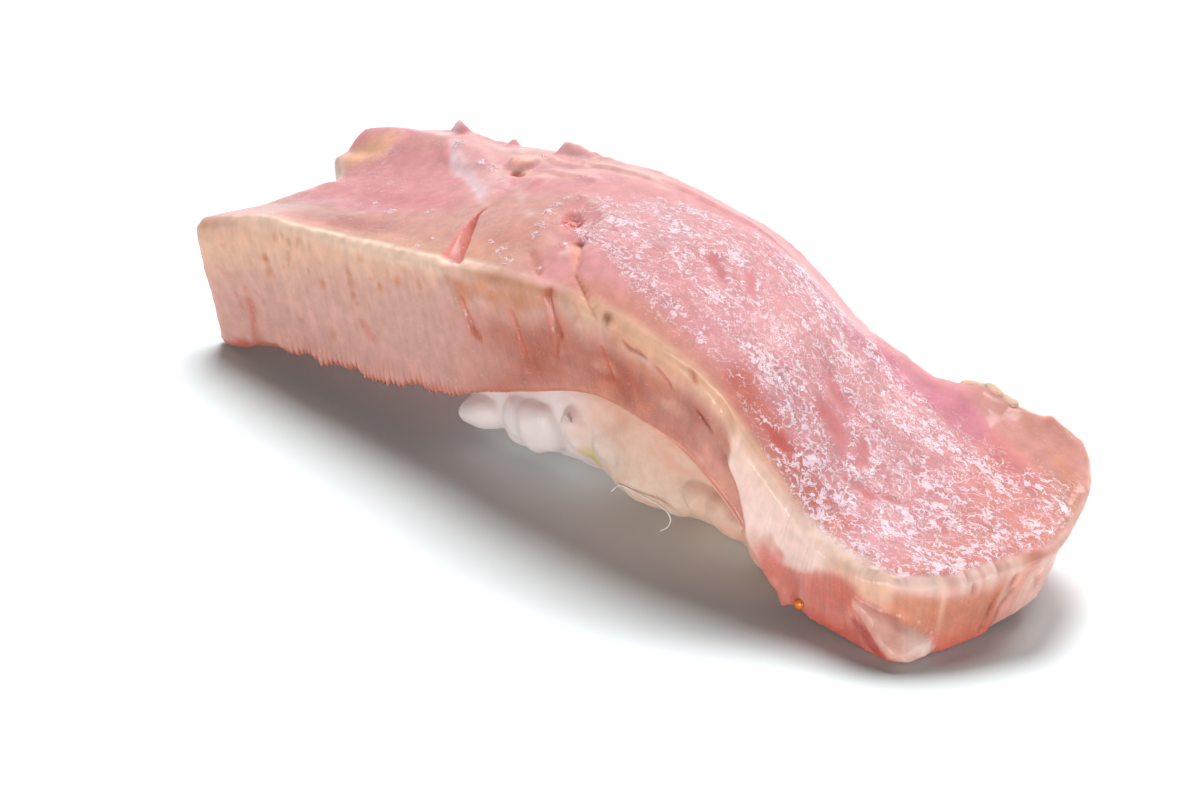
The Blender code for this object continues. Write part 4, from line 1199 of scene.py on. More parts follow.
colour = np.tile(tone(224, 158, 152), (len(X), 1)) * (1 + 0.05 * patchy[:, None])
near_foot = fall(-1.0, -0.8, T0)
lay(tone(196, 116, 92), near_foot)
lay(tone(242, 176, 158), 0.8 * near_foot * (ease(2.0, 9.0, X) * fall(22.0, 26.0, X)))
underside_tone = colour.copy()

colour = np.tile(tone(226, 160, 148), (len(X), 1))
back_streak = noise(cut_sway, (1.6, 7.0, 1.0), 66)
back_cloud = noise(cut_lie, (5.0, 3.0, 1.0), 67)
lay(tone(222, 148, 140), (0.7 + 0.3 * back_cloud) * fall(0.1, 0.55, h + 0.08 * back_streak))
lay(
    tone(210, 122, 106),
    0.6 * (0.7 + 0.5 * back_cloud) * ease(-16.0, -4.0, X) * fall(12.0, 20.0, X) * fall(0.5, 0.8, h),
)
lay(tone(240, 196, 174), (0.75 + 0.25 * back_cloud) * ease(0.6, 0.9, h + 0.08 * back_streak))
lay(tone(236, 184, 186), 0.5 * ease(0.2, 0.8, back_cloud) * ON_FAR)
lay(STAIN, 0.3 * ease(0.75, 1.1, noise(place, (0.6, 0.6, 0.9), 68) + 0.4 * patchy))
lay(tone(206, 112, 92), 0.8 * ease(0.05, 0.3, back_cut))
back_tone = colour * (1 + 0.04 * np.clip(back_fibre, -1, 1)[:, None])

colour = top_tone
sides = (
    (near_tone, ON_NEAR),
    (back_tone, np.maximum(ON_FAR, ON_LEFT_END)),
    (end_tone, ON_RIGHT_END),
    (underside_tone, ON_UNDERSIDE),
)
for tones, where in sides:
    colour = colour * (1 - where[:, None]) + tones * where[:, None]
# Above the wedge the flesh is orange, painted lighter where the ledge lies in shade: partly its own tone,
# partly painted light
LIGHTENED_OVER_WEDGE = ((33.6, -7.5, 6.0), (36.2, -6.6, 4.9), (38.0, -5.0, 3.6))
lightened_over_wedge = on_line3(LIGHTENED_OVER_WEDGE, (0.5, 1.0, 1.1), 0.3)
lay(tone(240, 158, 128), 0.75 * lightened_over_wedge * (0.9 + 0.2 * fine))
wedge = on_line3(WEDGE, WEDGE_RADII, 0.75)
lay(tone(226, 168, 154), 0.95 * wedge * (0.9 + 0.2 * fine))
# Dark red below the wedge: painted shade
lay(tone(176, 74, 70), 0.8 * below_wedge * (1 - wedge))
lay(tone(246, 218, 208), 0.65 * wedge * ease(36.2, 38.8, place[:, 0] + 0.4 * patchy))
# The raised rim along the top of the cut face: pale cream with a painted highlight along it, and painted
# light right of the crown, where it lies in shade
lay(tone(272, 244, 220), (0.9 + 0.4 * fine) * on_rim)
lay(tone(255, 222, 188), 0.8 * on_rim * ease(0.0, 3.0, X) * fall(20.0, 24.0, X))
lay(tone(268, 258, 250), 0.9 * on_rim * ease(20.0, 24.0, X))
lay(
    tone(246, 192, 158),
    0.35 * ON_TOP * ease(-4.0, 2.0, X) * fall(18.0, 24.0, X) * fall(-0.95, -0.9, T0),
)
dark_spot = np.exp(-(((X - 2.4) / 0.28) ** 2 + ((Y + 6.9) / 0.32) ** 2))
lay(BROWN, 0.85 * dark_spot * ON_TOP)
colour = np.clip(colour * (1 + 0.03 * fine[:, None]), 0, 1)
print("mean colour of the slice:", [round(float(c), 2) for c in colour.mean(axis=0)])

# %% [markdown]
# ## Flesh material
# Raw fish is wet and lets light in. Subsurface scattering gives the soft glow, a clear coat gives
# the film of moisture, and bump gives the wrinkles that break its reflection into glints. Glints are
# also painted into the colour as pale strokes, with painted shade in the grooves between them. The
# patterns read `lie`, a place measured along the surface, so fibres follow the face they are on.
# Patterns in plain space are simpler, but run through the slice from face to face, as in wood.

# %% Build the flesh material
flesh, tree, shader = new_material("tuna_flesh_wet")
tint = add_node(tree, "ShaderNodeAttribute", attribute_name="flesh").outputs["Color"]
wet = add_node(tree, "ShaderNodeAttribute", attribute_name="wet").outputs["Fac"]
cut_face = add_node(tree, "ShaderNodeAttribute", attribute_name="cut_face").outputs["Fac"]
lie_at = add_node(tree, "ShaderNodeAttribute", attribute_name="lie").outputs["Vector"]
object_at = add_node(tree, "ShaderNodeTexCoord").outputs["Object"]

long_way = add_node(tree, "ShaderNodeMapping", {"Vector": lie_at, "Scale": (1.6, 0.22, 1.0)})
threads = noise_texture(tree, long_way.outputs["Vector"], 1.0, 4.0, Distortion=0.4)["Fac"]
mottle = noise_texture(tree, object_at, 700.0, 4.0)["Fac"]
crinkle = noise_texture(tree, object_at, 1250.0, 2.0, Distortion=1.5)

# The glint strokes: thin lines of a stretched noise, broken by a coarser one and wider where it is wet.
# They are painted glints in the colour, and a bump too. Darker lines beside them are painted shade.
folded = vectors_of(tree, "SCALE", {0: crinkle["Color"], "Scale": 0.0007})
moved = vectors_of(tree, "ADD", {0: object_at, 1: folded})
flow = add_node(tree, "ShaderNodeMapping", {"Vector": moved, "Scale": (620.0, 1300.0, 1150.0)})
flow = flow.outputs["Vector"]
strokes = noise_texture(tree, flow, 1.0, 2.0, Roughness=0.6, Distortion=0.8)["Fac"]
breaks = sum_of(tree, "MULTIPLY_ADD", noise_texture(tree, flow, 0.45, 2.0, Distortion=0.5)["Fac"], 3.0, -0.5)
wetness = sum_of(tree, "MULTIPLY_ADD", wet, breaks, -0.08)
stroke_reach = sum_of(tree, "MULTIPLY", wetness, 0.062)
from_line = sum_of(tree, "ABSOLUTE", sum_of(tree, "SUBTRACT", strokes, 0.5))
glint_stroke = spread(tree, sum_of(tree, "SUBTRACT", stroke_reach, from_line), -0.012, 0.018)
from_groove_line = sum_of(tree, "ABSOLUTE", sum_of(tree, "SUBTRACT", strokes, 0.59))
groove_shade = spread(tree, from_groove_line, 0.0, 0.03, 0.55, 0.0)

# The colour kept at the points, varied by fibres and mottling, with painted shade in the grooves
# and painted glint strokes over it
thread_shade = spread(tree, threads, 0.3, 0.7, -0.06, 0.06)
mottle_shade = spread(tree, mottle, 0.3, 0.7, 0.91, 1.09)
shade = sum_of(tree, "MULTIPLY_ADD", thread_shade, cut_face, mottle_shade)
grey = add_node(tree, "ShaderNodeCombineXYZ", {"X": shade, "Y": shade, "Z": shade}).outputs["Vector"]
varied = blend_colours(tree, 1.0, tint, grey, "MULTIPLY")
# Painted shade in the grooves beside the glints
varied = blend_colours(tree, sum_of(tree, "MULTIPLY", groove_shade, wet), varied, paint(196, 118, 128))
# Painted glints as pale strokes
varied = blend_colours(tree, sum_of(tree, "MULTIPLY", glint_stroke, 0.86), varied, paint(264, 238, 248))

# Four bumps, one over the other, each deeper where its own pattern shows
fibre_bump = bumped(tree, threads, cut_face, 0.00013)
fine_bump = bumped(tree, mottle, 0.5, 0.00006, fibre_bump)
crinkle_bump = bumped(tree, crinkle["Fac"], wet, 0.00022, fine_bump)
wet_bump = bumped(tree, glint_stroke, wet, 0.00005, crinkle_bump)
feed_all(tree, shader, {
    "Base Color": varied,
    "Normal": wet_bump,
    "Coat Normal": wet_bump,
    "Roughness": spread(tree, mottle, 0.0, 1.0, 0.36, 0.5),
    "Coat Weight": sum_of(tree, "MULTIPLY_ADD", wet, 0.8, 0.2),
    "Coat Roughness": 0.10,
    "IOR": 1.40,
    "Subsurface Weight": 0.35,
    "Subsurface Radius": (1.0, 0.42, 0.34),
    "Subsurface Scale": 0.0012,
})
print("flesh material nodes:", len(tree.nodes))

# %% Make the slice
def new_piece(name, points, faces, material):
    """A smooth mesh object of points in millimetres, standing at the origin."""
    mesh = bpy.data.meshes.new(name)
    mesh.from_pydata((np.asarray(points) * MM).tolist(), [], [list(map(int, f)) for f in faces])
    mesh.materials.append(material)
    mesh.shade_smooth()
    made = bpy.data.objects.new(name, mesh)
    bpy.context.scene.collection.objects.link(made)
    return made


def keep_values(mesh, name, kind, values):
    """Stores one value for each point of the mesh under a name that materials can read."""
    layer = mesh.attributes.new(name, kind, "POINT")
    field = {"FLOAT": "value", "FLOAT_VECTOR": "vector", "FLOAT_COLOR": "color"}[kind]
    layer.data.foreach_set(field, np.asarray(values, np.float32).ravel())


FAR_APART = 8.0  # cells over which the fibres' place jumps by more than this get no fibres
slice_piece = new_piece("albacore_slice", place + SLAB_AT, quads, flesh)
keep_values(slice_piece.data, "flesh", "FLOAT_COLOR", np.column_stack([colour, np.ones(len(X))]))
keep_values(slice_piece.data, "wet", "FLOAT", WET)
on_side = np.maximum(ON_NEAR, ON_RIGHT_END)
top_lie = flat(Y + 40.0, X)
side_lie = np.where(ON_RIGHT_END[:, None] > 0.5, end_lie + 80.0, lie)
flat_lie = np.where(on_side[:, None] > 0.5, side_lie, top_lie)
jump = np.ptp(flat_lie[quads], axis=1).max(axis=1)
steady = np.ones_like(X)
steady[quads[jump > FAR_APART].ravel()] = 0
keep_values(slice_piece.data, "cut_face", "FLOAT", steady * np.clip(0.12 + 0.8 * on_side, 0, 1))
keep_values(slice_piece.data, "lie", "FLOAT_VECTOR", flat_lie)
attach(slice_piece, "root")
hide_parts("fish_slice")
print("slice:", 2 * len(quads), "triangles")

# %% [markdown]
# ## Rice
# Nigiri rice is cooked short-grain rice pressed by hand. Its grains stay about 5 by 2.5 mm, but
# they are sticky, so they sink into each other and only their rounded ends and sides stand out.
# So there are two pieces: a core, which is the pressed mass with soft fillets between grains, and
# the grains themselves, set over it by Geometry Nodes. Loose grains alone would show gaps, and
# one smooth pad would look like clay.

# %% Form of the pressed pad
RICE_LEFT = -19.4
RICE_RIGHT = 22.5
RICE_NEAR = -2.9
RICE_FAR = 15.6
RICE_ROUNDING = 2.6
RICE_HEIGHT = 10.0
RICE_SAG = 0.8
RICE_LUMP = (15.0, 30.0, 20.0)
RICE_TOUCH = 0.1
NEAR_TUCK = 2.8  # how far the foot of the near side is drawn in
NEAR_TUCK_HEIGHT = 4.5
BELLY = 1.3  # how far the near side bulges
BELLY_X = 4.8  # where along it the bulge is furthest
BELLY_REACH = 5.0
NEAR_CLEAR = 1.0  # places nearer than this belong to the near side


def rice_form(cells):
    """The pad's surface, which follows the slice's underside. Points in millimetres, and quads."""
    size = (RICE_RIGHT - RICE_LEFT, RICE_FAR - RICE_NEAR, RICE_HEIGHT)
    places, faces = box_shell([np.linspace(0, 1, n + 1) for n in cells])
    radius = np.full(len(places), RICE_ROUNDING)
    u, v, w = rounded(places[:, 0], places[:, 1] * 2 - 1, places[:, 2], size, radius)
    x = RICE_LEFT + size[0] * u
    y = (RICE_NEAR + RICE_FAR) / 2 + v * size[1] / 2
    width = smooth_through(STATION_X, FAR_EDGE_Y, x) - FAR_TUCK - NEAR_FOOT_Y
    share = np.clip((y - NEAR_FOOT_Y) / width, 0, 1)
    z = (underside(x, share) - RICE_TOUCH) * w
    side = 4 * w * (1 - w)
    waves = [2 * math.pi * value / reach for value, reach in zip((x, y, z), RICE_LUMP)]
    lumps = RICE_SAG * np.sin(waves[0]) * np.cos(waves[1] + waves[2])
    y = y + np.sign(v) * np.abs(v) ** 3 * side * (1 + lumps)
    tuck = NEAR_TUCK * np.clip(1 - z / NEAR_TUCK_HEIGHT, 0, 1) ** 1.5
    y = y + tuck * np.clip(-v, 0, 1) ** 2
    bulge = BELLY * np.exp(-(((x - BELLY_X) / BELLY_REACH) ** 2))
    y = y - bulge * np.clip(-v, 0, 1) ** 2 * ease(0.0, 3.0, z)
    return np.stack([x, y, z], axis=-1), faces


pad_points, pad_faces = rice_form((60, 28, 14))
print("pad form:", len(pad_faces), "quads")

# %% [markdown]
# ### Where the grains sit
# The grains that the photograph shows are listed one by one, from end to end. The rest are spread by
# rule over the pad's sides: each new seat is the best of several tries, the one farthest from the
# seats before it. A grain is turned to lie along the side. One that would reach into the slice or
# the table is drawn in and made shorter, and if it still doesn't fit, it is left out.

# %% Seats for the grains
GRAIN_SIZE = (5.6, 3.0, 2.6)
GRAIN_COUNT = 320
GRAIN_TRIES = 14
RICE_SEED = 41
GRAIN_CLEAR = 1.0  # least distance from a grain's upper end to the slice
GRAIN_LOW = 0.1  # least height of a grain's lower end
GRAIN_MOVES = 5
DRAW_IN = 0.25
SHIFT_UP = 0.4
SHORTER = 0.92
BY_HAND_TO_X = 18.0  # the near side left of this has only the listed grains
STEEPEST = 0.8  # faces that look further up or down than this carry no grains
# Grains that show in the photograph: both ends, along, across and up, and thickness
SHOWN_GRAINS = (
    ((-17.3, -4.2, 3.0), (-13.5, -4.2, 4.2), 0.9),
    ((-11.4, -3.7, 6.2), (-10.4, -3.5, 2.6), 1.35),
    ((-9.6, -3.8, 6.4), (-8.4, -3.9, 2.8), 1.45),
    ((-7.8, -3.6, 6.8), (-7.3, -3.7, 3.4), 1.35),
    ((-3.9, -3.9, 8.2), (-2.6, -3.8, 4.8), 1.2),
    ((-1.0, -3.2, 6.6), (2.4, -3.4, 5.6), 1.2),
    ((1.4, -3.3, 8.4), (5.0, -3.5, 7.4), 1.2),
    ((2.2, -3.7, 4.6), (5.8, -3.8, 4.4), 1.25),
    ((5.2, -3.8, 6.6), (8.6, -3.6, 5.4), 1.2),
    ((7.0, -3.4, 3.8), (9.8, -3.2, 4.0), 1.2),
    ((11.0, -3.4, 6.6), (12.6, -3.5, 4.2), 1.45),
    ((13.6, -3.8, 6.2), (16.2, -3.9, 3.8), 1.3),
    ((17.0, 17.8, 6.9), (21.2, 17.6, 6.5), 0.95),
    ((20.4, 17.9, 5.9), (24.6, 17.3, 5.6), 0.95),
)
print("grains placed by hand:", len(SHOWN_GRAINS))

# %% Spread the other grains
def grain_seats():
    """Centre, turn and thickness of every grain, in millimetres and radians."""
    rng = random.Random(RICE_SEED)
    tree_of_slice = BVHTree.FromPolygons(place.tolist(), quads.tolist())
    corners = pad_points[pad_faces]
    normals = np.cross(corners[:, 2] - corners[:, 0], corners[:, 3] - corners[:, 1])
    areas = np.linalg.norm(normals, axis=1) / 2
    normals = normals / np.maximum(2 * areas, 1e-9)[:, None]
    usable = np.flatnonzero(np.abs(normals[:, 2]) < STEEPEST)
    weights = areas[usable].tolist()
    seats = []
    for start, end, thick in SHOWN_GRAINS:
        start, end = Vector(start), Vector(end)
        reach = end - start
        seats.append(((start + end) / 2, reach.to_track_quat("X", "Z"), thick, reach.length + 1.0))
    for _ in range(GRAIN_COUNT):
        best = None
        for k in rng.choices(usable.tolist(), weights, k=GRAIN_TRIES):
            u, v = rng.random(), rng.random()
            c = corners[k]
            point = Vector(c[0] * (1 - u) * (1 - v) + c[1] * u * (1 - v) + c[2] * u * v + c[3] * (1 - u) * v)
            gap = min((point - other[0]).length for other in seats)
            if best is None or gap > best[0]:
                best = (gap, point, Vector(normals[k]))
        _, point, out = best
        heading = rng.uniform(0, math.pi)
        length = GRAIN_SIZE[0] * rng.uniform(0.85, 1.05)
        thick = rng.uniform(0.9, 1.08)
        along_side = out.orthogonal().normalized()
        along_side.rotate(Matrix.Rotation(heading, 3, out))
        if point.y < NEAR_CLEAR and point.x < BY_HAND_TO_X:
            continue
        centre = point + out * rng.uniform(-0.5, 0.2)
        for _ in range(GRAIN_MOVES):
            ends = [centre + along_side * length / 2, centre - along_side * length / 2, centre]
            high = max(e.z for e in ends)
            gap = tree_of_slice.find_nearest(ends[0] if ends[0].z == high else ends[1])[3]
            low = min(e.z for e in ends) - 1.0
            if gap > GRAIN_CLEAR and low > GRAIN_LOW:
                break
            upwards = SHIFT_UP if low <= GRAIN_LOW else -SHIFT_UP
            centre = centre - out * DRAW_IN + Vector((0, 0, upwards))
            length *= SHORTER
        else:
            continue
        seats.append((centre, along_side.to_track_quat("X", "Z"), thick, length))
    return seats


seats = grain_seats()
print("grains seated:", len(seats))

# %% [markdown]
# ### Grains by Geometry Nodes
# One grain is a blunt, slightly bent capsule of a few dozen faces. The node tree takes a cloud of
# seats, each with a turn and a size, sets a grain on every seat, makes them real mesh, and pushes
# their points about a little with noise, so that no two are the same. Copies made by hand would
# do for ten grains, but here every size can be changed in one place.

# %% One grain
GRAIN_SIDES = 8
GRAIN_RINGS = (-0.86, -0.5, 0.0, 0.5, 0.86)


def grain_mesh():
    """A capsule one unit long and wide along X, blunter at one end and with a slight bend."""
    points = [(-0.5, 0, 0)]
    for ring in GRAIN_RINGS:
        swell = (1 - abs(ring) ** 2.6) ** 0.5 * (1 - 0.06 * ring)
        for k in range(GRAIN_SIDES):
            angle = 2 * math.pi * k / GRAIN_SIDES
            bend_here = 0.05 * (1 - ring * ring)
            points.append((ring / 2, swell * math.cos(angle) / 2 + bend_here, swell * math.sin(angle) / 2))
    points.append((0.5, 0, 0))
    last = len(points) - 1
    faces = []
    for k in range(GRAIN_SIDES):
        after = (k + 1) % GRAIN_SIDES
        faces.append((0, 1 + after, 1 + k))
        for ring in range(len(GRAIN_RINGS) - 1):
            low = 1 + ring * GRAIN_SIDES
            faces.append((low + k, low + after, low + after + GRAIN_SIDES, low + k + GRAIN_SIDES))
        top = 1 + (len(GRAIN_RINGS) - 1) * GRAIN_SIDES
        faces.append((top + k, top + after, last))
    return points, faces


grain_points, grain_faces = grain_mesh()
print("one grain has", len(grain_faces), "faces")

# %% Rice material
rice_white, tree, shader = new_material("cooked_rice")
object_at = add_node(tree, "ShaderNodeTexCoord").outputs["Object"]
starch = noise_texture(tree, object_at, 600.0, 5.0, Roughness=0.65)["Fac"]
chalk = noise_texture(tree, object_at, 1500.0, 3.0)["Fac"]
stained = noise_texture(tree, object_at, 230.0, 3.0, Distortion=0.6)
warm = add_node(tree, "ShaderNodeValToRGB", {"Fac": starch})
STARCH_STOPS = ((0.32, paint(230, 192, 170)), (0.68, paint(244, 216, 198)))
for stop, (position, shown) in zip(warm.color_ramp.elements, STARCH_STOPS):
    stop.position = position
    stop.color = shown

# Towards the right end, and up near the flesh, the rice turns warmer and darker in soft patches
along, _, height = add_node(tree, "ShaderNodeSeparateXYZ", {"Vector": object_at}).outputs
past_belly = sum_of(tree, "MAXIMUM", sum_of(tree, "SUBTRACT", along, 0.012), 0.0)
near_flesh = spread(tree, sum_of(tree, "MULTIPLY_ADD", past_belly, 0.6, height), 0.0060, 0.0105)
toward_right = spread(tree, along, -0.003, 0.009, interpolation_type="SMOOTHSTEP")
clean = blend_colours(tree, toward_right, paint(240, 226, 224), warm.outputs["Color"])
warm_share = spread(tree, stained["Fac"], 0.48, 0.68, 0.0, 0.6)
warm_share = sum_of(tree, "MULTIPLY_ADD", near_flesh, 0.5, warm_share)
warm_share = sum_of(tree, "MULTIPLY", warm_share, sum_of(tree, "ADD", toward_right, 0.2))
warm_rice = blend_colours(tree, warm_share, clean, paint(232, 178, 154))

# Green smears on the rice: place along, across and up in the frame, radius, all in millimetres.
# Their edges are made uneven by noise, whose middle is half of its reach.
SMEARS = ((2.3, -9.6, 5.0, 1.8), (2.9, -9.1, 4.0, 1.4), (18.6, -9.9, 5.8, 1.5))
SMEAR_UNEVEN = 2.2
uneven_at = vectors_of(tree, "SCALE", {0: stained["Color"], "Scale": SMEAR_UNEVEN * MM})
smeared_at = vectors_of(tree, "ADD", {0: object_at, 1: uneven_at})
for *centre, radius in SMEARS:
    centre = tuple((value + SMEAR_UNEVEN / 2) * MM for value in centre)
    gap = add_node(tree, "ShaderNodeVectorMath", {0: smeared_at, 1: centre}, operation="DISTANCE")
    smeared = spread(tree, gap.outputs["Value"], radius * MM, 0.3 * radius * MM, 0.0, 0.65)
    warm_rice = blend_colours(tree, smeared, warm_rice, paint(206, 196, 116))
feed_all(tree, shader, {
    "Base Color": warm_rice,
    "Normal": bumped(tree, chalk, 0.5, 0.0001),
    "Roughness": spread(tree, chalk, 0.0, 1.0, 0.45, 0.65),
    "Subsurface Weight": 0.5,
    "Subsurface Radius": (1.0, 0.8, 0.6),
    "Subsurface Scale": 0.0012,
    "Coat Weight": 0.1,
    "Coat Roughness": 0.25,
})
print("rice material nodes:", len(tree.nodes))

# %% The node tree that sets the grains
TREE_INPUTS = (
    ("Geometry", "NodeSocketGeometry"), ("Grain", "NodeSocketObject"), ("Unevenness", "NodeSocketFloat"),
    ("Noise scale", "NodeSocketFloat"), ("Material", "NodeSocketMaterial"),
)


def grain_tree():
    """Geometry Nodes: a grain on every seat, made real, pushed about by noise, in one material."""
    made = bpy.data.node_groups.new("set_grains", "GeometryNodeTree")
    for name, kind in TREE_INPUTS:
        made.interface.new_socket(name, in_out="INPUT", socket_type=kind)
    made.interface.new_socket("Geometry", in_out="OUTPUT", socket_type="NodeSocketGeometry")
    given = made.nodes.new("NodeGroupInput").outputs

    def step(kind, output, inputs, **settings):
        return add_node(made, kind, inputs, **settings).outputs[output]

    turn = step("GeometryNodeInputNamedAttribute", "Attribute", {"Name": "turn"}, data_type="FLOAT_VECTOR")
    size = step("GeometryNodeInputNamedAttribute", "Attribute", {"Name": "size"}, data_type="FLOAT_VECTOR")
    grain = step("GeometryNodeObjectInfo", "Geometry", {"Object": given["Grain"]})
    spin = step("FunctionNodeEulerToRotation", "Rotation", {"Euler": turn})
    seated = {"Points": given["Geometry"], "Instance": grain, "Rotation": spin, "Scale": size}
    placed = step("GeometryNodeInstanceOnPoints", "Instances", seated)
    real = step("GeometryNodeRealizeInstances", "Geometry", {"Geometry": placed})
    field = step("ShaderNodeTexNoise", "Color", {"Scale": given["Noise scale"], "Detail": 1.0})
    centred = vectors_of(made, "SUBTRACT", {0: field, 1: (0.5, 0.5, 0.5)})
    push_by = vectors_of(made, "SCALE", {0: centred, "Scale": given["Unevenness"]})
    uneven = step("GeometryNodeSetPosition", "Geometry", {"Geometry": real, "Offset": push_by})
    smooth = step("GeometryNodeSetShadeSmooth", "Geometry", {"Geometry": uneven})
    finish = step("GeometryNodeSetMaterial", "Geometry", {"Geometry": smooth, "Material": given["Material"]})
    made.links.new(finish, made.nodes.new("NodeGroupOutput").inputs["Geometry"])
    return made


print("inputs of the tree:", [name for name, _ in TREE_INPUTS])

# %% Set the grains
FLOOR_GAP = 0.02  # grains at the foot are flattened this far above the table
GRAIN_UNEVEN = 1.5
GRAIN_NOISE_SCALE = 420.0


def points_of(mesh):
    """The mesh's points, in metres."""
    spots = np.empty(len(mesh.vertices) * 3)
    mesh.vertices.foreach_get("co", spots)
    return spots.reshape(-1, 3)


def make_plain(piece):
    """Gives a piece the mesh that its modifiers make, and removes them."""
    ready = piece.evaluated_get(bpy.context.evaluated_depsgraph_get())
    real = bpy.data.meshes.new_from_object(ready)
    piece.modifiers.clear()
    piece.data = real
    real.name = piece.name
    return real


def set_grains(name, seats):
    """A plain mesh of grains on the seats."""
    grain = new_piece("one_grain", np.array(grain_points) / MM, grain_faces, rice_white)
    seat_points = [tuple((centre + Vector(SLAB_AT)) * MM) for centre, _, _, _ in seats]
    cloud_of_seats = bpy.data.meshes.new(name)
    cloud_of_seats.from_pydata(seat_points, [], [])
    turns = [tuple(turn.to_euler()) for _, turn, _, _ in seats]
    _, wide, high = GRAIN_SIZE
    sizes = [(length * MM, wide * thick * MM, high * thick * MM) for _, _, thick, length in seats]
    keep_values(cloud_of_seats, "turn", "FLOAT_VECTOR", turns)
    keep_values(cloud_of_seats, "size", "FLOAT_VECTOR", sizes)
    made = bpy.data.objects.new(name, cloud_of_seats)
    bpy.context.scene.collection.objects.link(made)
    setter = made.modifiers.new("grains", "NODES")
    setter.node_group = grain_tree()
    values = {
        "Grain": grain,
        "Unevenness": GRAIN_UNEVEN * MM,
        "Noise scale": GRAIN_NOISE_SCALE,
        "Material": rice_white,
    }
    for socket in setter.node_group.interface.items_tree:
        if socket.in_out == "INPUT" and socket.name in values:
            setter[socket.identifier] = values[socket.name]
    real = make_plain(made)
    bpy.data.objects.remove(grain)
    spots = points_of(real)
    spots[:, 2] = np.maximum(spots[:, 2], FLOOR_GAP * MM)
    real.vertices.foreach_set("co", spots.ravel())
    return made


rice_grains = set_grains("rice_grains", seats)
print("grains:", len(rice_grains.data.polygons), "faces")

# %% The sticky core
CORE_VOXEL = 0.28
CORE_SWELL = 0.55  # the core's skin stands out this far on the side that shows
RELAX_STEPS = 30


def make_core():
    """The pad and the grains melted into one skin, which is pushed out over the grains in front."""
    core = new_piece("rice_core", pad_points + SLAB_AT, pad_faces, rice_white)
    grains = rice_grains.data
    offset = len(core.data.vertices)
    all_points = np.vstack([points_of(core.data), points_of(grains)])
    all_faces = [tuple(p.vertices) for p in core.data.polygons]
    all_faces += [tuple(offset + i for i in p.vertices) for p in grains.polygons]
    joined = bpy.data.meshes.new("rice_core")
    joined.from_pydata(all_points.tolist(), [], all_faces)
    joined.materials.append(rice_white)
    core.data = joined
    remesh = core.modifiers.new("melt", "REMESH")
    remesh.mode = "VOXEL"
    remesh.voxel_size = CORE_VOXEL * MM
    relax = core.modifiers.new("relax", "SMOOTH")
    relax.factor = 0.5
    relax.iterations = RELAX_STEPS
    melted = make_plain(core)
    melted.shade_smooth()
    spots = points_of(melted)
    outs = np.empty(len(spots) * 3)
    melted.vertex_normals.foreach_get("vector", outs)
    lumpy = 0.12 * noise(spots / MM, 2.2, 81) + 0.07 * noise(spots / MM, 0.8, 82)
    shown = fall(-2.0, 2.5, spots[:, 1] / MM - SLAB_AT[1])
    spots = spots + outs.reshape(-1, 3) * (CORE_SWELL * (0.1 + 0.9 * shown) - lumpy)[:, None] * MM
    spots[:, 2] = np.maximum(spots[:, 2], 0.0)
    melted.vertices.foreach_set("co", spots.ravel())
    melted.update()
    return core


rice_core = make_core()
for piece in (rice_core, rice_grains):
    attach(piece, "root")
    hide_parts("rice_pad")
print("core:", len(rice_core.data.polygons), "faces")

# %% [markdown]
# ## Small things that cling to it
# A few crumbs make food look real: an orange bead of roe, a dark speck on the rice, bits of rice
# on the far edge, and a hair-thin thread of starch that hangs off the rice. The first three are
# flattened balls made uneven by noise, and the thread is a thin tube along a curve. They could be
# sculpted, but are too small for that to show.

# %% Uneven balls
BALL_RINGS = 8
BALL_SIDES = 12


def lump_mesh(rows, uneven):
    """Joined flattened, uneven balls: centre, half sizes and turn of each. Points in mm, and faces."""
    points, faces = [], []
    for centre, half_sizes, turn in rows:
        first = len(points)
        points.append((0, 0, -1))
        for k in range(1, BALL_RINGS):
            rise = math.pi * k / BALL_RINGS
            for j in range(BALL_SIDES):
                angle = 2 * math.pi * j / BALL_SIDES
                wide = math.sin(rise)
                points.append((wide * math.cos(angle), wide * math.sin(angle), -math.cos(rise)))
        points.append((0, 0, 1))
        last = len(points) - 1
        spin = np.array(Euler([math.radians(a) for a in turn]).to_matrix())
        ball = np.array(points[first:]) * half_sizes
        points[first:] = [tuple(p) for p in ball @ spin.T + centre]
        for j in range(BALL_SIDES):
            after = (j + 1) % BALL_SIDES
            faces.append((first, first + 1 + after, first + 1 + j))
            for k in range(BALL_RINGS - 2):
                low = first + 1 + BALL_SIDES * k
                faces.append((low + j, low + after, low + after + BALL_SIDES, low + j + BALL_SIDES))
            faces.append((last - BALL_SIDES + j, last - BALL_SIDES + after, last))
    points = np.array(points)
    wobble = np.stack([noise(points, 1.0, 90 + axis) for axis in range(3)], axis=-1)
    fine_wobble = np.stack([noise(points, 0.35, 94 + axis) for axis in range(3)], axis=-1)
    return points + uneven * (wobble + 0.5 * fine_wobble) + SLAB_AT, faces


print("one ball has", BALL_RINGS * BALL_SIDES, "faces")

# %% A thin thread
THREAD_SIDES = 6
THREAD_STEPS = 8  # rings for each point of the path
THREAD_TIP = 0.3  # share of the width that is left at its ends


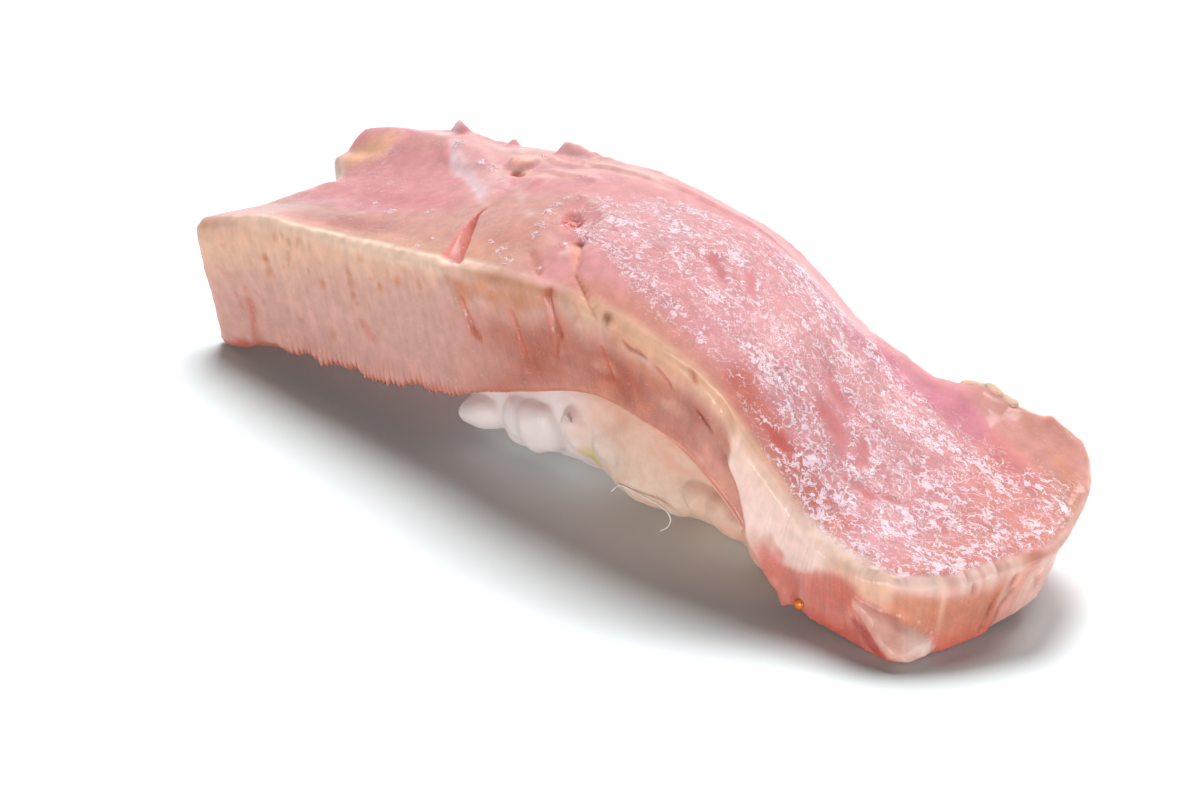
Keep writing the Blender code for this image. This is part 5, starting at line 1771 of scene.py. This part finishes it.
def thread_mesh(path, half_width):
    """A thin round thread through the points of a path. Points in mm, and faces."""
    path = np.array(path, float)
    steps = np.linspace(0, len(path) - 1, THREAD_STEPS * len(path))
    line = np.stack([smooth_through(np.arange(len(path)), path[:, k], steps) for k in range(3)], axis=-1)
    points, faces = [], []
    for i, at in enumerate(line):
        ahead = Vector(line[min(i + 1, len(line) - 1)] - line[max(i - 1, 0)]).normalized()
        side = ahead.cross(Vector((0, 1, 0))).normalized()
        other = ahead.cross(side)
        thick = half_width * (1.0 if 0 < i < len(line) - 1 else THREAD_TIP)
        for k in range(THREAD_SIDES):
            angle = 2 * math.pi * k / THREAD_SIDES
            points.append(Vector(at) + thick * (side * math.cos(angle) + other * math.sin(angle)))
    for i in range(len(line) - 1):
        low = THREAD_SIDES * i
        for k in range(THREAD_SIDES):
            after = (k + 1) % THREAD_SIDES
            faces.append((low + k, low + after, low + THREAD_SIDES + after, low + THREAD_SIDES + k))
    faces.append(tuple(range(THREAD_SIDES - 1, -1, -1)))
    faces.append(tuple(range(len(points) - THREAD_SIDES, len(points))))
    return np.array(points) + SLAB_AT, faces


print("sides of the thread:", THREAD_SIDES)

# %% Make the small things
def crumb_material(name, first, second, scale, gloss, glow):
    """Two tones mixed by noise, with a little light let in."""
    material, tree, shader = new_material(name)
    at = add_node(tree, "ShaderNodeTexCoord").outputs["Object"]
    cloudy = noise_texture(tree, at, scale, 3.0)["Fac"]
    feed_all(tree, shader, {
        "Base Color": blend_colours(tree, spread(tree, cloudy, 0.4, 0.62), (*first, 1), (*second, 1)),
        "Normal": bumped(tree, cloudy, 0.4, 0.00005),
        "Roughness": gloss,
        "Subsurface Weight": glow,
        "Subsurface Scale": 0.0006,
        "Coat Weight": 0.5,
        "Coat Roughness": 0.15,
    })
    return material


roe_orange = crumb_material("roe_orange", tone(236, 130, 30), tone(150, 58, 14), 900.0, 0.3, 0.3)
starch_white = crumb_material("starch_white", tone(252, 246, 242), tone(238, 226, 220), 900.0, 0.4, 0.2)
dark_fleck = crumb_material("dark_fleck", tone(150, 138, 146), tone(226, 212, 208), 1400.0, 0.5, 0.1)
# Lumps: centre, half sizes, turn in degrees. The thread: points it runs through
ROE = (((26.5, -8.05, 2.35), (0.55, 0.36, 0.62), (0, 20, 0)),)
FLECK = (((-3.5, -5.8, 8.3), (0.45, 0.12, 0.12), (0, 35, 0)),)
FAR_BITS = (
    ((25.4, 17.0, 13.3), (1.5, 0.8, 0.4), (0, 5, 20)),
    ((26.9, 17.5, 13.1), (1.3, 0.8, 0.45), (0, 10, -15)),
    ((28.2, 17.9, 12.6), (1.1, 0.7, 0.4), (0, 15, 30)),
)
STARCH_THREAD = (
    (2.0, -6.0, 2.9), (3.2, -6.0, 4.05), (4.6, -6.0, 4.15), (7.2, -6.0, 4.0),
    (8.8, -6.0, 3.7), (9.35, -6.0, 3.0), (9.1, -6.0, 2.2), (8.0, -6.0, 1.2),
)
crumbs = (
    ("roe_bead", lump_mesh(ROE, 0.10), roe_orange, "tuna_flesh"),
    ("dark_fleck", lump_mesh(FLECK, 0.08), dark_fleck, "rice"),
    ("rice_bits", lump_mesh(FAR_BITS, 0.16), rice_white, "rice"),
    ("starch_thread", thread_mesh(STARCH_THREAD, 0.075), starch_white, "rice"),
)
for name, (points, faces), material, slot in crumbs:
    crumb = new_piece(name, points, faces, material)
    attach(crumb, "root")
print("small things:", [name for name, _, _, _ in crumbs])

# %% Print the size of the finished object
low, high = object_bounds()
print("box of the finished object, mm:", [round(1000 * (b - a), 1) for a, b in zip(low, high)])
